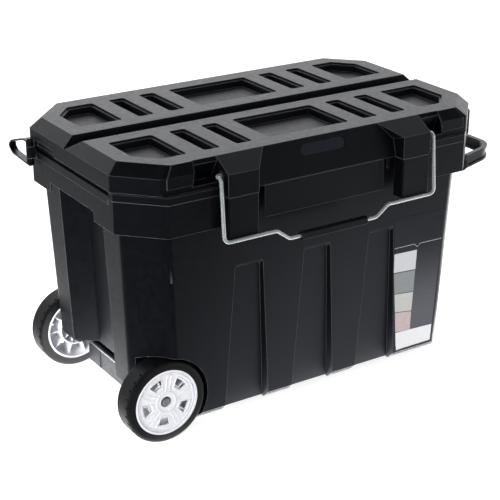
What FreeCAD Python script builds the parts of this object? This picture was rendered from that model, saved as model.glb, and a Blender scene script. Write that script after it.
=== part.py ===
# Wheeled jobsite storage box: moulded tub, hinged lid with a bail latch, axle and wheels, tow handle
# and swing loops. Millimetres. X runs along the length, Y to the back, Z up. All is drawn with the
# tub's underside at z = 0 and raised at the end by the ground clearance, so the ground is z = 0.
import FreeCAD, Part
import os
from math import atan2, cos, radians, sin, tan

V = FreeCAD.Vector
os.makedirs("parts", exist_ok=True)

# ---------------------------------------------------------------- driving sizes
# tub
ground_clearance = 24.2
rim_height = 510.5
rim_half_length = 449.4
rim_half_depth = 267.0
rim_corner_x = 77.4
rim_corner_y = 80.4
rim_thickness = 4.0
rim_corner_round = 3.0
rim_ledge_x = 16.4
rim_ledge_y = 20.0
skirt_height = 68.2
skirt_wall = 3.5
tub_wall = 4.0
tub_taper_x = 22.0
tub_taper_y = 14.6
tub_corner_x = 70.0
tub_corner_y = 72.0
tub_corner_round = 16.0
foot_lift = 6.0
foot_bevel = 18.0
foot_ring_width = 46.0
skid_half_width = 16.0
skid_pitch = 140.0
skid_start_x = -200.0
skid_end_inset = 40.0

# tapered recessed panels, front and back
panel_pitch = 171.0
panel_count = 3
panel_top_z = 338.0
panel_top_half_width = 33.0
panel_foot_half_width = 54.0
panel_top_depth = 9.0
panel_foot_depth = 18.5
panel_wall_draft = 3.0
panel_round = 7.0

# recess in the middle of each end
end_recess_half_width = 100.0
end_recess_floor_half_width = 67.0
end_recess_depth = 45.0
end_recess_drop = 42.5
end_recess_round = 6.0

# hand-hold: the end skirt is cut higher in the middle
handhold_half_width = 100.0
handhold_raise = 21.0
end_lip_height = 7.0
end_lip_drop = 10.5
end_lip_proud = 2.0
end_lip_half_width = 170.0
skirt_rib_pitch = 88.0
skirt_rib_thickness = 3.0
skirt_rib_drop = 26.0

# wheels and axle
wheel_radius = 91.6
tyre_width = 50.0
tyre_bore_radius = 72.6
tyre_edge_round = 7.0
axle_inset = 82.2
axle_radius = 6.0
wheel_proud = 0.9
well_gap = 6.0
wheel_side_gap = 8.0
shelf_z = 85.0
shelf_corner_x = 77.0
shelf_corner_y = 55.0
channel_half_width = 18.0
channel_height = 20.0
axle_groove_gap = 2.0
hub_radius = 15.0
hub_recess = 8.0
rim_barrel_wall = 4.5
rim_web = 4.0
rim_web_recess = 4.0
rim_inner_ring_radius = 40.0
rim_rib = 3.0
rim_rib_count = 10
rim_window_count = 5
rim_window_start = 45.0
rim_window_inner = 36.0
rim_window_outer = 54.0
rim_window_half_angle = 16.0
tread_count = 30
tread_width = 3.0
tread_depth = 2.2
tread_reach = 13.0
spacer_radius = 10.0
washer_radius = 11.0
washer_thickness = 1.2
push_nut_radius = 9.0
push_nut_height = 4.0
push_nut_chamfer = 1.6
push_nut_crown = 0.6
saddle_length = 30.0
saddle_gap = 5.0
saddle_floor = 6.4
saddle_screw_radius = 2.5
saddle_screw_offset = 12.0
saddle_screw_head_radius = 4.8
saddle_screw_head = 2.6
saddle_screw_bite = 8.0
saddle_screw_slot = 1.2

# lid
lid_height = 75.5
lid_bevel_height = 22.0
lid_top_inset_x = 19.4
lid_top_inset_y = 20.0
lid_corner_x = 71.6
lid_corner_y = 75.7
lid_waist_proud_x = 4.1
lid_waist_inset_y = 8.0
lid_base_inset_x = 6.4
lid_base_inset_y = 8.0
lid_flange_height = 15.5
lid_step_height = 3.0
lid_wall = 3.8
lid_corner_round = 6.0
apron_toe = 3.0
lid_lip_depth = 8.0
lid_lip_wall = 3.0
lid_lip_gap = 2.0
lid_rib_thickness = 3.0
lid_rib_depth = 16.0
groove_front_y = 25.0
groove_back_y = 22.0
groove_bottom_y = 15.0
groove_depth = 26.0

# raised pads on the lid's front, beside the bail pockets
pad_proud = 3.0
pad_length = 57.0
pad_foot_rise = 14.6
pad_bevel_x = 15.0
pad_bevel_height = 21.0
pad_bevel_drop = 3.0

# lid pockets, one quarter of the pattern
pocket_near_y = 62.4
pocket_far_inset = 40.7
pocket_depth = 19.0
pocket_step_depth = 5.0
pocket_step_width = 4.0
pocket_draft = 4.0
pocket_round = 7.0
centre_pocket_half_length = 101.0
slot_length = 38.0
first_slot_x = 158.5
second_slot_x = 234.8
end_pocket_start = 292.5
end_pocket_inset = 36.7
end_pocket_corner_x = 40.0
end_pocket_corner_y = 46.0

# latch bosses and bail
boss_inner_x = 181.0
boss_width = 71.5
boss_reach = 27.0
boss_shoulder_drop = 26.5
boss_height = 87.0
boss_wall = 3.5
boss_flare = 39.0
boss_flare_drop = 41.0
skirt_pocket_width = 31.0
skirt_pocket_depth = 16.0
bail_radius = 3.75
bail_pivot_inset = 26.0
bail_pivot_drop = 34.0
bail_top_inset = 7.0
bail_leg_gap = 12.5
bail_bar_drop = 2.5
bail_grip_drop = 23.0
bail_jog_outer_x = 141.0
bail_jog_inner_x = 110.0
bail_bend_radius = 13.0
bail_elbow_radius = 8.0
bail_jog_radius = 16.0
bail_end_reach = 16.0
grip_half_length = 83.0
grip_radius = 9.5
grip_flat = 7.5
bush_radius = 6.0
bush_flange_radius = 8.5
bush_flange = 1.5
bush_tail = 4.0
bail_pocket_reach = 60.5
bail_pocket_slant = 7.0
bail_pocket_head_drop = 9.0
bail_pocket_height = 41.0
bail_pocket_head_depth = 9.0
bail_pocket_foot_depth = 31.0

# bare badge plate on the lid's apron
badge_x = 0.0
badge_drop = 24.0
badge_length = 114.0
badge_height = 27.0
badge_sink = 2.6
badge_thickness = 2.0
badge_gap = 0.4

# bare label on the front right column, between the last panel and the corner
label_end_inset = 77.7
label_head_gap = 1.0
label_foot_gap = 7.3
label_low_z = 22.5
label_high_z = 352.0
label_thickness = 0.4
label_corner = 3.0

# hinge
hinge_reach = 7.5
hinge_rod_radius = 3.0
hinge_knuckle_radius = 6.4
hinge_station_pitch = 200.0
hinge_station_count = 4
lid_knuckle_length = 36.0
tub_knuckle_length = 20.0
knuckle_gap = 0.6
rod_cap_length = 5.0
rod_cap_radius = 5.0
rod_cap_end = 1.0

# tow handle at the right end
tow_pivot_inset = 11.4
tow_pivot_drop = 19.3
tow_arm_y = 186.0
tow_corner_y = 168.0
tow_length = 110.0
tow_tip_rise = 11.0
tow_root_height = 32.0
tow_tip_height = 28.0
tow_flange_width = 10.0
tow_web = 4.5
tow_flange_thickness = 5.0
tow_corner_radius = 42.0
tow_root_radius = 20.0
tow_eye_radius = 15.0
tow_eye_width = 9.0
tow_pin_radius = 4.0
tow_pin_head = 3.0
tow_pin_head_radius = 7.0
tow_cheek = 5.0
tow_cheek_drop = 14.0

# swing loops on two opposite corners
loop_pin_reach = 12.6
loop_pin_inset = 99.0
loop_pin_radius = 3.0
loop_pin_head_radius = 5.2
loop_pin_head = 2.5
loop_width = 16.0
loop_band = 4.0
loop_reach = 95.0
loop_rise = 32.0
loop_drop = 22.5
loop_slope = 20.0
loop_foot_rise = 4.0
loop_tip_height = 16.0
loop_round = 22.0
loop_nose = 3.0
loop_eye_height = 14.0
lug_radius = 8.0
lid_cove_depth = 9.0
lid_cove_height = 26.0
lid_cove_margin = 6.0

# clearances
seat_gap = 0.3
shaft_gap = 0.05
swing_gap = 0.5
lid_gap = 0.4
crease_round = 0.5

# ---------------------------------------------------------------- derived places
past = 6.0
graze = 1.0
hair = 1e-4
inset_share = 2 - 2 ** 0.5

# tub
tub_top_half_length = rim_half_length - rim_ledge_x
tub_top_half_depth = rim_half_depth - rim_ledge_y
tub_foot_half_length = tub_top_half_length - tub_taper_x
tub_foot_half_depth = tub_top_half_depth - tub_taper_y
tub_floor_z = foot_lift + tub_wall
skirt_bottom_z = rim_height - skirt_height
rim_under_z = rim_height - rim_thickness
end_recess_top_z = rim_height - end_recess_drop

# lid
lid_base_z = rim_height + lid_gap
lid_flange_top_z = lid_base_z + lid_flange_height
lid_step_z = lid_flange_top_z + lid_step_height
lid_top_z = rim_height + lid_height
lid_waist_z = lid_top_z - lid_bevel_height
lid_top_half_length = rim_half_length - lid_top_inset_x
lid_top_half_depth = rim_half_depth - lid_top_inset_y
lid_waist_half_length = rim_half_length + lid_waist_proud_x
lid_waist_half_depth = rim_half_depth - lid_waist_inset_y
lid_base_half_length = rim_half_length - lid_base_inset_x
lid_base_half_depth = rim_half_depth - lid_base_inset_y
pocket_far_y = lid_top_half_depth - pocket_far_inset
end_pocket_end = lid_top_half_length - end_pocket_inset
badge_z = lid_top_z - badge_drop
tall = 2 * lid_top_z

# wheels and axle
axle_x = axle_inset - rim_half_length
axle_z = wheel_radius - ground_clearance
wheel_outer_y = tub_foot_half_depth + wheel_proud
wheel_inner_y = wheel_outer_y - tyre_width
well_inner_y = wheel_inner_y - wheel_side_gap
well_radius = wheel_radius + well_gap
channel_top_z = shelf_z + channel_height
hub_face_y = wheel_outer_y - hub_recess
saddle_y = well_inner_y - saddle_gap - saddle_length / 2
saddle_low_z = axle_z - axle_radius - saddle_floor

# latch and hinge
boss_outer_x = boss_inner_x + boss_width
boss_front_y = rim_half_depth + boss_reach
boss_shoulder_z = lid_top_z - boss_shoulder_drop
boss_bottom_z = rim_height - boss_height
bail_pivot_y = boss_front_y - bail_pivot_inset
bail_pivot_z = lid_top_z - bail_pivot_drop
bail_top_y = boss_front_y - bail_top_inset
bail_leg_x = boss_outer_x + bail_leg_gap
bail_bar_y = boss_front_y + bail_radius + swing_gap
bail_bar_z = boss_bottom_z - bail_bar_drop
bail_grip_z = bail_bar_z - bail_grip_drop
hinge_pivot_y = rim_half_depth + hinge_reach
hinge_pivot_z = rim_height + lid_gap / 2

# label, tow handle and loops
last_panel_x = panel_pitch * (panel_count - 1) / 2
label_head_x = last_panel_x + panel_top_half_width + label_head_gap
label_foot_x = last_panel_x + panel_foot_half_width + label_foot_gap
tow_pivot_x = rim_half_length - tow_pivot_inset
tow_pivot_z = skirt_bottom_z - tow_pivot_drop
tow_reach = tow_pivot_x + tow_length
loop_pin_x = rim_half_length + loop_pin_reach
loop_pin_y = rim_half_depth - loop_pin_inset
loop_top_z = rim_height + loop_rise
loop_bottom_z = rim_height - loop_drop


# ---------------------------------------------------------------- shape helpers
def box(x0, x1, y0, y1, z0, z1):
    return Part.makeBox(x1 - x0, y1 - y0, z1 - z0, V(x0, y0, z0))


def rod_y(x, z, radius, y0, y1):
    return Part.makeCylinder(radius, y1 - y0, V(x, y0, z), V(0, 1, 0))


def rod_x(y, z, radius, x0, x1):
    return Part.makeCylinder(radius, x1 - x0, V(x0, y, z), V(1, 0, 0))


def rod_z(x, y, radius, z0, z1):
    return Part.makeCylinder(radius, z1 - z0, V(x, y, z0), V(0, 0, 1))


def bore_y(x, z, radius, y0, y1):
    """Running bore for a shaft of the given radius, open at both ends."""
    return rod_y(x, z, radius + shaft_gap, y0 - graze, y1 + graze)


def bore_x(y, z, radius, x0, x1):
    return rod_x(y, z, radius + shaft_gap, x0 - graze, x1 + graze)


def bore_z(x, y, radius, z0, z1):
    return rod_z(x, y, radius + shaft_gap, z0 - graze, z1 + graze)


def fuse(shapes):
    return shapes[0].fuse(shapes[1:]).removeSplitter()


def mirror_x(shape):
    return shape.mirror(V(0, 0, 0), V(1, 0, 0))


def mirror_y(shape):
    return shape.mirror(V(0, 0, 0), V(0, 1, 0))


def half_turn(shape):
    turned = shape.copy()
    turned.rotate(V(0, 0, 0), V(0, 0, 1), 180)
    return turned


def polygon(points):
    return Part.makePolygon(list(points) + [points[0]])


def prism(points, direction):
    return Part.Face(polygon(points)).extrude(direction)


def rounded_wire(points, radii):
    """Closed wire through coplanar points, with an arc of the given radius at each one."""
    if not isinstance(radii, (list, tuple)):
        radii = [radii] * len(points)
    starts = []
    ends = []
    middles = []
    count = len(points)
    for i, point in enumerate(points):
        before = (points[i - 1] - point)
        after = (points[(i + 1) % count] - point)
        longest = min(before.Length, after.Length) / 2 - hair
        before.normalize()
        after.normalize()
        half_angle = before.getAngle(after) / 2
        reach = min(radii[i] / tan(half_angle), longest)
        radius = reach * tan(half_angle)
        bisector = before + after
        bisector.normalize()
        centre = point + bisector * (radius / sin(half_angle))
        starts.append(point + before * reach)
        ends.append(point + after * reach)
        middles.append(centre - bisector * radius)
    edges = []
    for i in range(count):
        if (starts[i] - ends[i]).Length > hair:
            edges.append(Part.Arc(starts[i], middles[i], ends[i]).toShape())
        following = starts[(i + 1) % count]
        if (following - ends[i]).Length > hair:
            edges.append(Part.LineSegment(ends[i], following).toShape())
    return Part.Wire(edges)


def loft(wires):
    return Part.makeLoft(wires, True, True)


def plate(points, radii, direction):
    return Part.Face(rounded_wire(points, radii)).extrude(direction)


def offset_pairs(points, inset):
    """Corner pairs of a counter-clockwise outline, each side moved in by inset."""
    moved = []
    count = len(points)
    for i in range(count):
        (ax, ay), (bx, by), (cx, cy) = points[i - 1], points[i], points[(i + 1) % count]
        before = V(bx - ax, by - ay, 0).normalize()
        after = V(cx - bx, cy - by, 0).normalize()
        normal_a = V(-before.y, before.x, 0)
        normal_b = V(-after.y, after.x, 0)
        shift = (normal_a + normal_b) * (inset / (1 + normal_a.dot(normal_b)))
        moved.append((bx + shift.x, by + shift.y))
    return moved


def inset_points(points, inset, z):
    return [V(x, y, z) for x, y in offset_pairs(points, inset)]


def cornered(half_x, half_y, corner_x, corner_y, z, inset=0.0):
    """Eight points of a rectangle with cut corners, drawn in by inset on every side."""
    hx = half_x - inset
    hy = half_y - inset
    cx = corner_x - inset * inset_share
    cy = corner_y - inset * inset_share
    right = [V(hx, -hy + cy, z), V(hx, hy - cy, z), V(hx - cx, hy, z)]
    left = [V(-hx + cx, hy, z), V(-hx, hy - cy, z), V(-hx, -hy + cy, z)]
    return right + left + [V(-hx + cx, -hy, z), V(hx - cx, -hy, z)]


# ---------------------------------------------------------------- tub
def tub_half_length(z):
    return tub_foot_half_length + (tub_top_half_length - tub_foot_half_length) * z / rim_height


def tub_half_depth(z):
    return tub_foot_half_depth + (tub_top_half_depth - tub_foot_half_depth) * z / rim_height


def tub_outline(z, inset=0.0):
    points = cornered(tub_half_length(z), tub_half_depth(z), tub_corner_x, tub_corner_y, z, inset)
    return rounded_wire(points, tub_corner_round)


def rim_outline(z, inset=0.0):
    points = cornered(rim_half_length, rim_half_depth, rim_corner_x, rim_corner_y, z, inset)
    return rounded_wire(points, rim_corner_round)


def front_panel_cutter(centre_x, grow=0.0):
    """Tapered recess in the front wall; grow makes the thicker body that keeps the wall behind it."""
    def depth(z):
        share = z / panel_top_z
        return panel_foot_depth + (panel_top_depth - panel_foot_depth) * share

    def half_width(z):
        share = z / panel_top_z
        return panel_foot_half_width + (panel_top_half_width - panel_foot_half_width) * share

    low_z = -past
    high_z = panel_top_z + grow
    wires = []
    for draft, at_floor in ((-panel_wall_draft, False), (panel_wall_draft, True)):
        points = []
        top_z = high_z - draft * 2
        for z, sign in ((low_z, -1), (low_z, 1), (top_z, 1), (top_z, -1)):
            sink = depth(z) + grow if at_floor else -past
            x = centre_x + sign * (half_width(z) + grow - draft)
            points.append(V(x, sink - tub_half_depth(z), z))
        wires.append(rounded_wire(points, [crease_round, crease_round, panel_round, panel_round]))
    return loft(wires)


def panel_cutters(grow=0.0):
    middle = (panel_count - 1) / 2
    cutters = []
    for i in range(panel_count):
        cutter = front_panel_cutter((i - middle) * panel_pitch, grow)
        cutters.append(cutter)
        cutters.append(mirror_y(cutter))
    return cutters


def end_recess_cutter(grow=0.0):
    """Trapezoid channel down the middle of the right end."""
    slope = (end_recess_half_width - end_recess_floor_half_width) / end_recess_depth
    high_z = end_recess_top_z + grow
    wires = []
    for z in (-past, high_z):
        face_x = tub_half_length(z)
        outer_y = end_recess_half_width + slope * past + grow
        floor_y = end_recess_floor_half_width + grow
        floor_x = face_x - end_recess_depth - grow
        points = [V(face_x + past, -outer_y, z), V(face_x + past, outer_y, z)]
        points += [V(floor_x, floor_y, z), V(floor_x, -floor_y, z)]
        radii = [crease_round, crease_round, end_recess_round, end_recess_round]
        wires.append(rounded_wire(points, radii))
    return loft(wires)


def wheel_side_cutters(grow=0.0):
    """Space below the shelf at the axle end, the two wheel wells and the groove for the axle."""
    face_x = end_recess_depth - tub_half_length(shelf_z)
    side_x = face_x + shelf_corner_x
    top_z = channel_top_z + grow if grow else shelf_z
    far_x = rim_half_length + wheel_radius
    deep_y = rim_half_depth + past
    turn_y = well_inner_y - shelf_corner_y
    outline = [(-far_x, -deep_y), (side_x, -deep_y), (side_x, -well_inner_y), (face_x, -turn_y)]
    outline += [(face_x, turn_y), (side_x, well_inner_y), (side_x, deep_y), (-far_x, deep_y)]
    cutters = [prism(inset_points(outline, -grow, -past), V(0, 0, top_z + past))]
    radius = well_radius + grow
    inner_y = well_inner_y - grow
    for side in (-1, 1):
        y0, y1 = sorted((side * inner_y, side * deep_y))
        cutters.append(rod_y(axle_x, axle_z, radius, y0, y1))
        cutters.append(box(-far_x, axle_x, y0, y1, -past, axle_z))
    reach = axle_radius + axle_groove_gap + grow
    cutters.append(box(-far_x, axle_x + reach, -well_inner_y, well_inner_y, axle_z - reach, shelf_z + grow))
    return cutters


def tub_cavity():
    top_z = rim_height + past
    cavity = loft([tub_outline(tub_floor_z, tub_wall), tub_outline(top_z, tub_wall)])
    blocked = panel_cutters(tub_wall) + wheel_side_cutters(tub_wall)
    recess = end_recess_cutter(tub_wall)
    blocked += [recess, mirror_x(recess)]
    return cavity.cut(blocked)


def foot_bevel_cutters():
    """Wedges under the bottom edges all round, and the lifts between the foot's rings."""
    cutters = []
    face_y = tub_half_depth(foot_bevel)
    far_x = rim_half_length
    wedge = [V(-far_x, -face_y, foot_bevel), V(-far_x, -face_y - past, foot_bevel)]
    wedge += [V(-far_x, -face_y - past, -past), V(-far_x, -face_y + foot_bevel + past, -past)]
    front = prism(wedge, V(2 * far_x, 0, 0))
    cutters += [front, mirror_y(front)]
    face_x = tub_half_length(foot_bevel)
    deep_y = rim_half_depth
    wedge = [V(face_x, -deep_y, foot_bevel), V(face_x + past, -deep_y, foot_bevel)]
    wedge += [V(face_x + past, -deep_y, -past), V(face_x - foot_bevel - past, -deep_y, -past)]
    cutters.append(prism(wedge, V(0, 2 * deep_y, 0)))
    face_x = tub_half_length(shelf_z) - end_recess_depth
    wedge = [V(-face_x, -deep_y, foot_bevel), V(-face_x - past, -deep_y, foot_bevel)]
    wedge += [V(-face_x - past, -deep_y, -past), V(-face_x + foot_bevel + past, -deep_y, -past)]
    cutters.append(prism(wedge, V(0, 2 * deep_y, 0)))
    middle = (panel_count - 1) / 2
    inner_y = tub_foot_half_depth - foot_ring_width
    for i in range(panel_count):
        x = (i - middle) * panel_pitch
        lift = box(x - panel_foot_half_width, x + panel_foot_half_width,
                   -rim_half_depth, -inner_y, -past, foot_lift)
        cutters += [lift, mirror_y(lift)]
    inner_x = tub_foot_half_length - foot_ring_width
    shelf_end_x = tub_half_length(shelf_z) - end_recess_depth
    cutters.append(box(foot_ring_width / 2 - shelf_end_x, inner_x, -inner_y, inner_y, -past, foot_lift))
    return cutters


def skids():
    """Rails under the tub that reach the ground."""
    rails = []
    for y in (-skid_pitch, 0, skid_pitch):
        rail = box(skid_start_x, tub_foot_half_length - skid_end_inset, y - skid_half_width,
                   y + skid_half_width, -ground_clearance, foot_lift + graze)
        edges = [e for e in rail.Edges if e.BoundBox.ZMax < 0 and e.BoundBox.XLength < graze]
        rails.append(rail.makeChamfer(ground_clearance / 2, edges))
    return rails


def skirt_and_rim():
    outer = loft([rim_outline(skirt_bottom_z), rim_outline(rim_height)])
    hollow = loft([rim_outline(skirt_bottom_z - past, skirt_wall), rim_outline(rim_under_z, skirt_wall)])
    opening = loft([tub_outline(skirt_bottom_z, tub_wall), tub_outline(rim_height + past, tub_wall)])
    return outer.cut([hollow, opening])


def skirt_ribs():
    """Gussets between the skirt and the tub wall, along the front and back."""
    ribs = []
    reach = rim_half_length - rim_corner_x
    count = int(2 * reach / skirt_rib_pitch)
    low_z = rim_under_z - skirt_rib_drop
    wall_y = tub_half_depth(low_z) - tub_wall / 2
    half = skirt_rib_thickness / 2
    for i in range(count + 1):
        x = (i - count / 2) * skirt_rib_pitch
        rib = box(x - half, x + half, skirt_wall / 2 - rim_half_depth, -wall_y, low_z, rim_under_z + graze)
        ribs += [rib, mirror_y(rib)]
    return ribs


def end_lip():
    """Raised lip on the right end of the rim, in front of the lid's end."""
    inner_x = lid_base_half_length + 2 * lid_gap
    outer_x = rim_half_length + end_lip_proud
    low_z = rim_height - end_lip_drop
    high_z = rim_height + end_lip_height
    lip = box(inner_x, outer_x, -end_lip_half_width, end_lip_half_width, low_z, high_z)
    outer_edges = [e for e in lip.Edges if abs(e.BoundBox.XMin - outer_x) < hair]
    edges = [e for e in outer_edges if e.Length > end_lip_half_width]
    return lip.makeFillet(end_lip_proud * 0.9, edges)


def tub_boss(sign):
    """Hollow latch boss in front of the skirt, open at its bottom."""
    back_y = rim_half_depth - skirt_wall
    x0, x1 = sorted((sign * boss_inner_x, sign * boss_outer_x))
    shell = box(x0, x1, -boss_front_y, -back_y, boss_bottom_z, rim_height)
    front_edges = [e for e in shell.Edges if abs(e.BoundBox.YMax + boss_front_y) < hair
                   and e.BoundBox.ZLength > 20]
    shell = shell.makeFillet(boss_wall * 0.9, front_edges)
    hollow = box(x0 + boss_wall, x1 - boss_wall, -boss_front_y + boss_wall, -back_y - skirt_wall,
                 boss_bottom_z - past, rim_height - boss_wall)
    return shell.cut(hollow)


def skirt_pocket(sign):
    """Gap in the skirt beside a boss, on its inner side."""
    x0, x1 = sorted((sign * (boss_inner_x - skirt_pocket_width), sign * boss_inner_x))
    back_y = rim_half_depth - skirt_pocket_depth
    return box(x0, x1, -boss_front_y - past, -back_y, skirt_bottom_z - past, rim_height + past)


def loop_lug():
    """Lug on the left end that the swing loop's pin passes through."""
    low_z = loop_bottom_z + loop_eye_height + swing_gap
    high_z = loop_top_z - loop_eye_height - swing_gap
    inner_x = rim_half_length - skirt_wall / 2
    block = box(-loop_pin_x, -inner_x, loop_pin_y - lug_radius, loop_pin_y + lug_radius, low_z, high_z)
    nose = rod_z(-loop_pin_x, loop_pin_y, lug_radius, low_z, high_z)
    bore = bore_z(-loop_pin_x, loop_pin_y, loop_pin_radius, low_z, high_z)
    clear_x = lid_waist_half_length + lid_gap
    relief = box(-clear_x, -rim_half_length + past, 0, rim_half_depth, rim_height, high_z + graze)
    return block.fuse(nose).cut([bore, relief])


def tow_cheeks():
    """Two pairs of lugs under the right skirt that carry the tow handle's pins."""
    cheeks = []
    half_gap = tow_eye_width / 2 + swing_gap
    for centre_y in (-tow_arm_y, tow_arm_y):
        for side in (-1, 1):
            y0, y1 = sorted((centre_y + side * half_gap, centre_y + side * (half_gap + tow_cheek)))
            inner_x = tow_pivot_x - tow_eye_radius - tub_corner_x / 2
            top_z = skirt_bottom_z + skirt_wall
            low_z = tow_pivot_z - tow_cheek_drop
            body = box(inner_x, tow_pivot_x, y0, y1, low_z, top_z)
            nose = rod_y(tow_pivot_x, tow_pivot_z, tow_cheek_drop, y0, y1)
            web = box(tow_pivot_x, rim_half_length - skirt_wall / 2, y0, y1, tow_pivot_z, top_z)
            trim = box(0, 2 * rim_half_length, y0 - graze, y1 + graze, top_z, rim_height)
            cheeks.append(body.fuse([nose, web]).cut(trim))
    return cheeks


def tow_bores():
    reach = tow_eye_width / 2 + swing_gap + tow_cheek
    return [bore_y(tow_pivot_x, tow_pivot_z, tow_pin_radius, y - reach, y + reach)
            for y in (-tow_arm_y, tow_arm_y)]


def hinge_stations():
    middle = (hinge_station_count - 1) / 2
    return [(i - middle) * hinge_station_pitch for i in range(hinge_station_count)]


def tub_knuckle_spans():
    spans = []
    inner = lid_knuckle_length / 2 + knuckle_gap
    for x in hinge_stations():
        spans.append((x - inner - tub_knuckle_length, x - inner))
        spans.append((x + inner, x + inner + tub_knuckle_length))
    return spans


def tub_knuckles():
    pieces = []
    for x0, x1 in tub_knuckle_spans():
        barrel = rod_x(hinge_pivot_y, hinge_pivot_z, hinge_knuckle_radius, x0, x1)
        low_z = hinge_pivot_z - 3 * hinge_knuckle_radius
        back_y = hinge_pivot_y + hinge_knuckle_radius
        skin_y = rim_half_depth - skirt_wall / 2
        web = [V(x0, skin_y, hinge_pivot_z - lid_gap / 2), V(x0, skin_y, low_z)]
        web += [V(x0, back_y, hinge_pivot_z), V(x0, hinge_pivot_y, hinge_pivot_z)]
        web += [V(x0, hinge_pivot_y, hinge_pivot_z - lid_gap / 2)]
        pieces.append(barrel.fuse(prism(web, V(x1 - x0, 0, 0))))
    return pieces


def hinge_bore():
    reach = rim_half_length
    return bore_x(hinge_pivot_y, hinge_pivot_z, hinge_rod_radius, -reach, reach)


def saddle_channels():
    """Pocket above the shelf that a saddle block fits in, beside each wheel well."""
    cutters = []
    reach = saddle_length / 2 + seat_gap
    for side in (-1, 1):
        y0, y1 = sorted((side * (saddle_y - reach), side * (saddle_y + reach)))
        cutters.append(box(axle_x - channel_half_width, axle_x + channel_half_width, y0, y1,
                           shelf_z - past, channel_top_z))
    return cutters


def saddle_screw_places():
    places = []
    for side in (-1, 1):
        for end in (-1, 1):
            places.append((axle_x + end * saddle_screw_offset, side * saddle_y))
    return places


def saddle_pilot_holes():
    top_z = channel_top_z + saddle_screw_bite
    return [bore_z(x, y, saddle_screw_radius, channel_top_z, top_z) for x, y in saddle_screw_places()]


def saddle_screw_bosses():
    """Solid pads inside the tub that the saddle screws bite into."""
    top_z = channel_top_z + saddle_screw_bite + tub_wall
    radius = saddle_screw_radius + tub_wall
    return [rod_z(x, y, radius, channel_top_z + graze, top_z) for x, y in saddle_screw_places()]


def make_tub():
    body = loft([tub_outline(0), tub_outline(rim_height)])
    recess = end_recess_cutter()
    outer_cuts = panel_cutters() + wheel_side_cutters() + foot_bevel_cutters()
    body = body.cut(outer_cuts + [recess, mirror_x(recess), tub_cavity()])
    lip = end_lip()
    lug = loop_lug()
    knuckles = tub_knuckles()
    bosses = [tub_boss(-1), tub_boss(1)]
    rim = skirt_and_rim()
    low_z = skirt_bottom_z - past
    hold = box(rim_half_length - 2 * skirt_wall, rim_half_length + past, -handhold_half_width,
               handhold_half_width, low_z, skirt_bottom_z + handhold_raise)
    rim = rim.cut([skirt_pocket(-1), skirt_pocket(1), hold, mirror_x(hold)])
    added = [rim, lip, mirror_x(lip)] + skirt_ribs() + bosses + tow_cheeks() + knuckles
    added += [lug, half_turn(lug)] + saddle_screw_bosses() + skids()
    tub = body.fuse(added)
    removed = [hinge_bore()] + tow_bores() + saddle_channels() + saddle_pilot_holes()
    removed += [skirt_pocket(-1), skirt_pocket(1)]
    return tub.cut(removed).removeSplitter()


# ---------------------------------------------------------------- lid
def lid_outline(half_x, half_y, z, inset=0.0):
    points = cornered(half_x, half_y, lid_corner_x, lid_corner_y, z, inset)
    return rounded_wire(points, lid_corner_round)


def lid_body(inset=0.0):
    """Closed solid of the lid's outer form, or of its inside when inset is the wall."""
    base_z = lid_base_z - past if inset else lid_base_z
    base = (lid_base_half_length, lid_base_half_depth)
    waist = (lid_waist_half_length, lid_waist_half_depth)
    top = (lid_top_half_length, lid_top_half_depth)
    levels = [(base, base_z), (base, lid_flange_top_z + inset), (waist, lid_step_z + inset)]
    levels += [(waist, lid_waist_z - inset / 2), (top, lid_top_z - inset)]
    wires = [lid_outline(size[0], size[1], z, inset) for size, z in levels]
    return fuse([loft([wires[i], wires[i + 1]]) for i in range(len(wires) - 1)])


def lid_flange():
    flange = loft([rim_outline(lid_base_z), rim_outline(lid_flange_top_z)])
    half_y = end_lip_half_width + 2 * lid_gap
    end = box(lid_base_half_length, rim_half_length + past, -half_y, half_y, lid_base_z - graze,
              lid_flange_top_z + graze)
    return flange.cut([end, mirror_x(end)])


def lid_apron():
    """Sloping front between the bosses, from the lid's top edge to the rim."""
    toe_z = lid_base_z + apron_toe
    inner_y = lid_top_half_depth - lid_wall
    points = [V(-boss_inner_x, -inner_y, lid_top_z), V(-boss_inner_x, -lid_top_half_depth, lid_top_z)]
    points += [V(-boss_inner_x, -rim_half_depth, toe_z), V(-boss_inner_x, -rim_half_depth, lid_base_z)]
    points += [V(-boss_inner_x, -lid_base_half_depth + lid_wall, lid_base_z)]
    return prism(points, V(2 * boss_inner_x, 0, 0))


def apron_y(z):
    """Distance of the apron's face from the centre plane at height z."""
    toe_z = lid_base_z + apron_toe
    share = (lid_top_z - z) / (lid_top_z - toe_z)
    return lid_top_half_depth + (rim_half_depth - lid_top_half_depth) * share


def apron_front(grow=0.0):
    """Everything in front of the apron's slope between the bosses."""
    low_z = lid_base_z + apron_toe
    high_z = lid_top_z + past
    half = boss_inner_x + grow
    far_y = boss_front_y + past
    points = [V(-half, grow - apron_y(low_z), low_z), V(-half, grow - apron_y(high_z), high_z)]
    points += [V(-half, -far_y, high_z), V(-half, -far_y, low_z)]
    return prism(points, V(2 * half, 0, 0))


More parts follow.
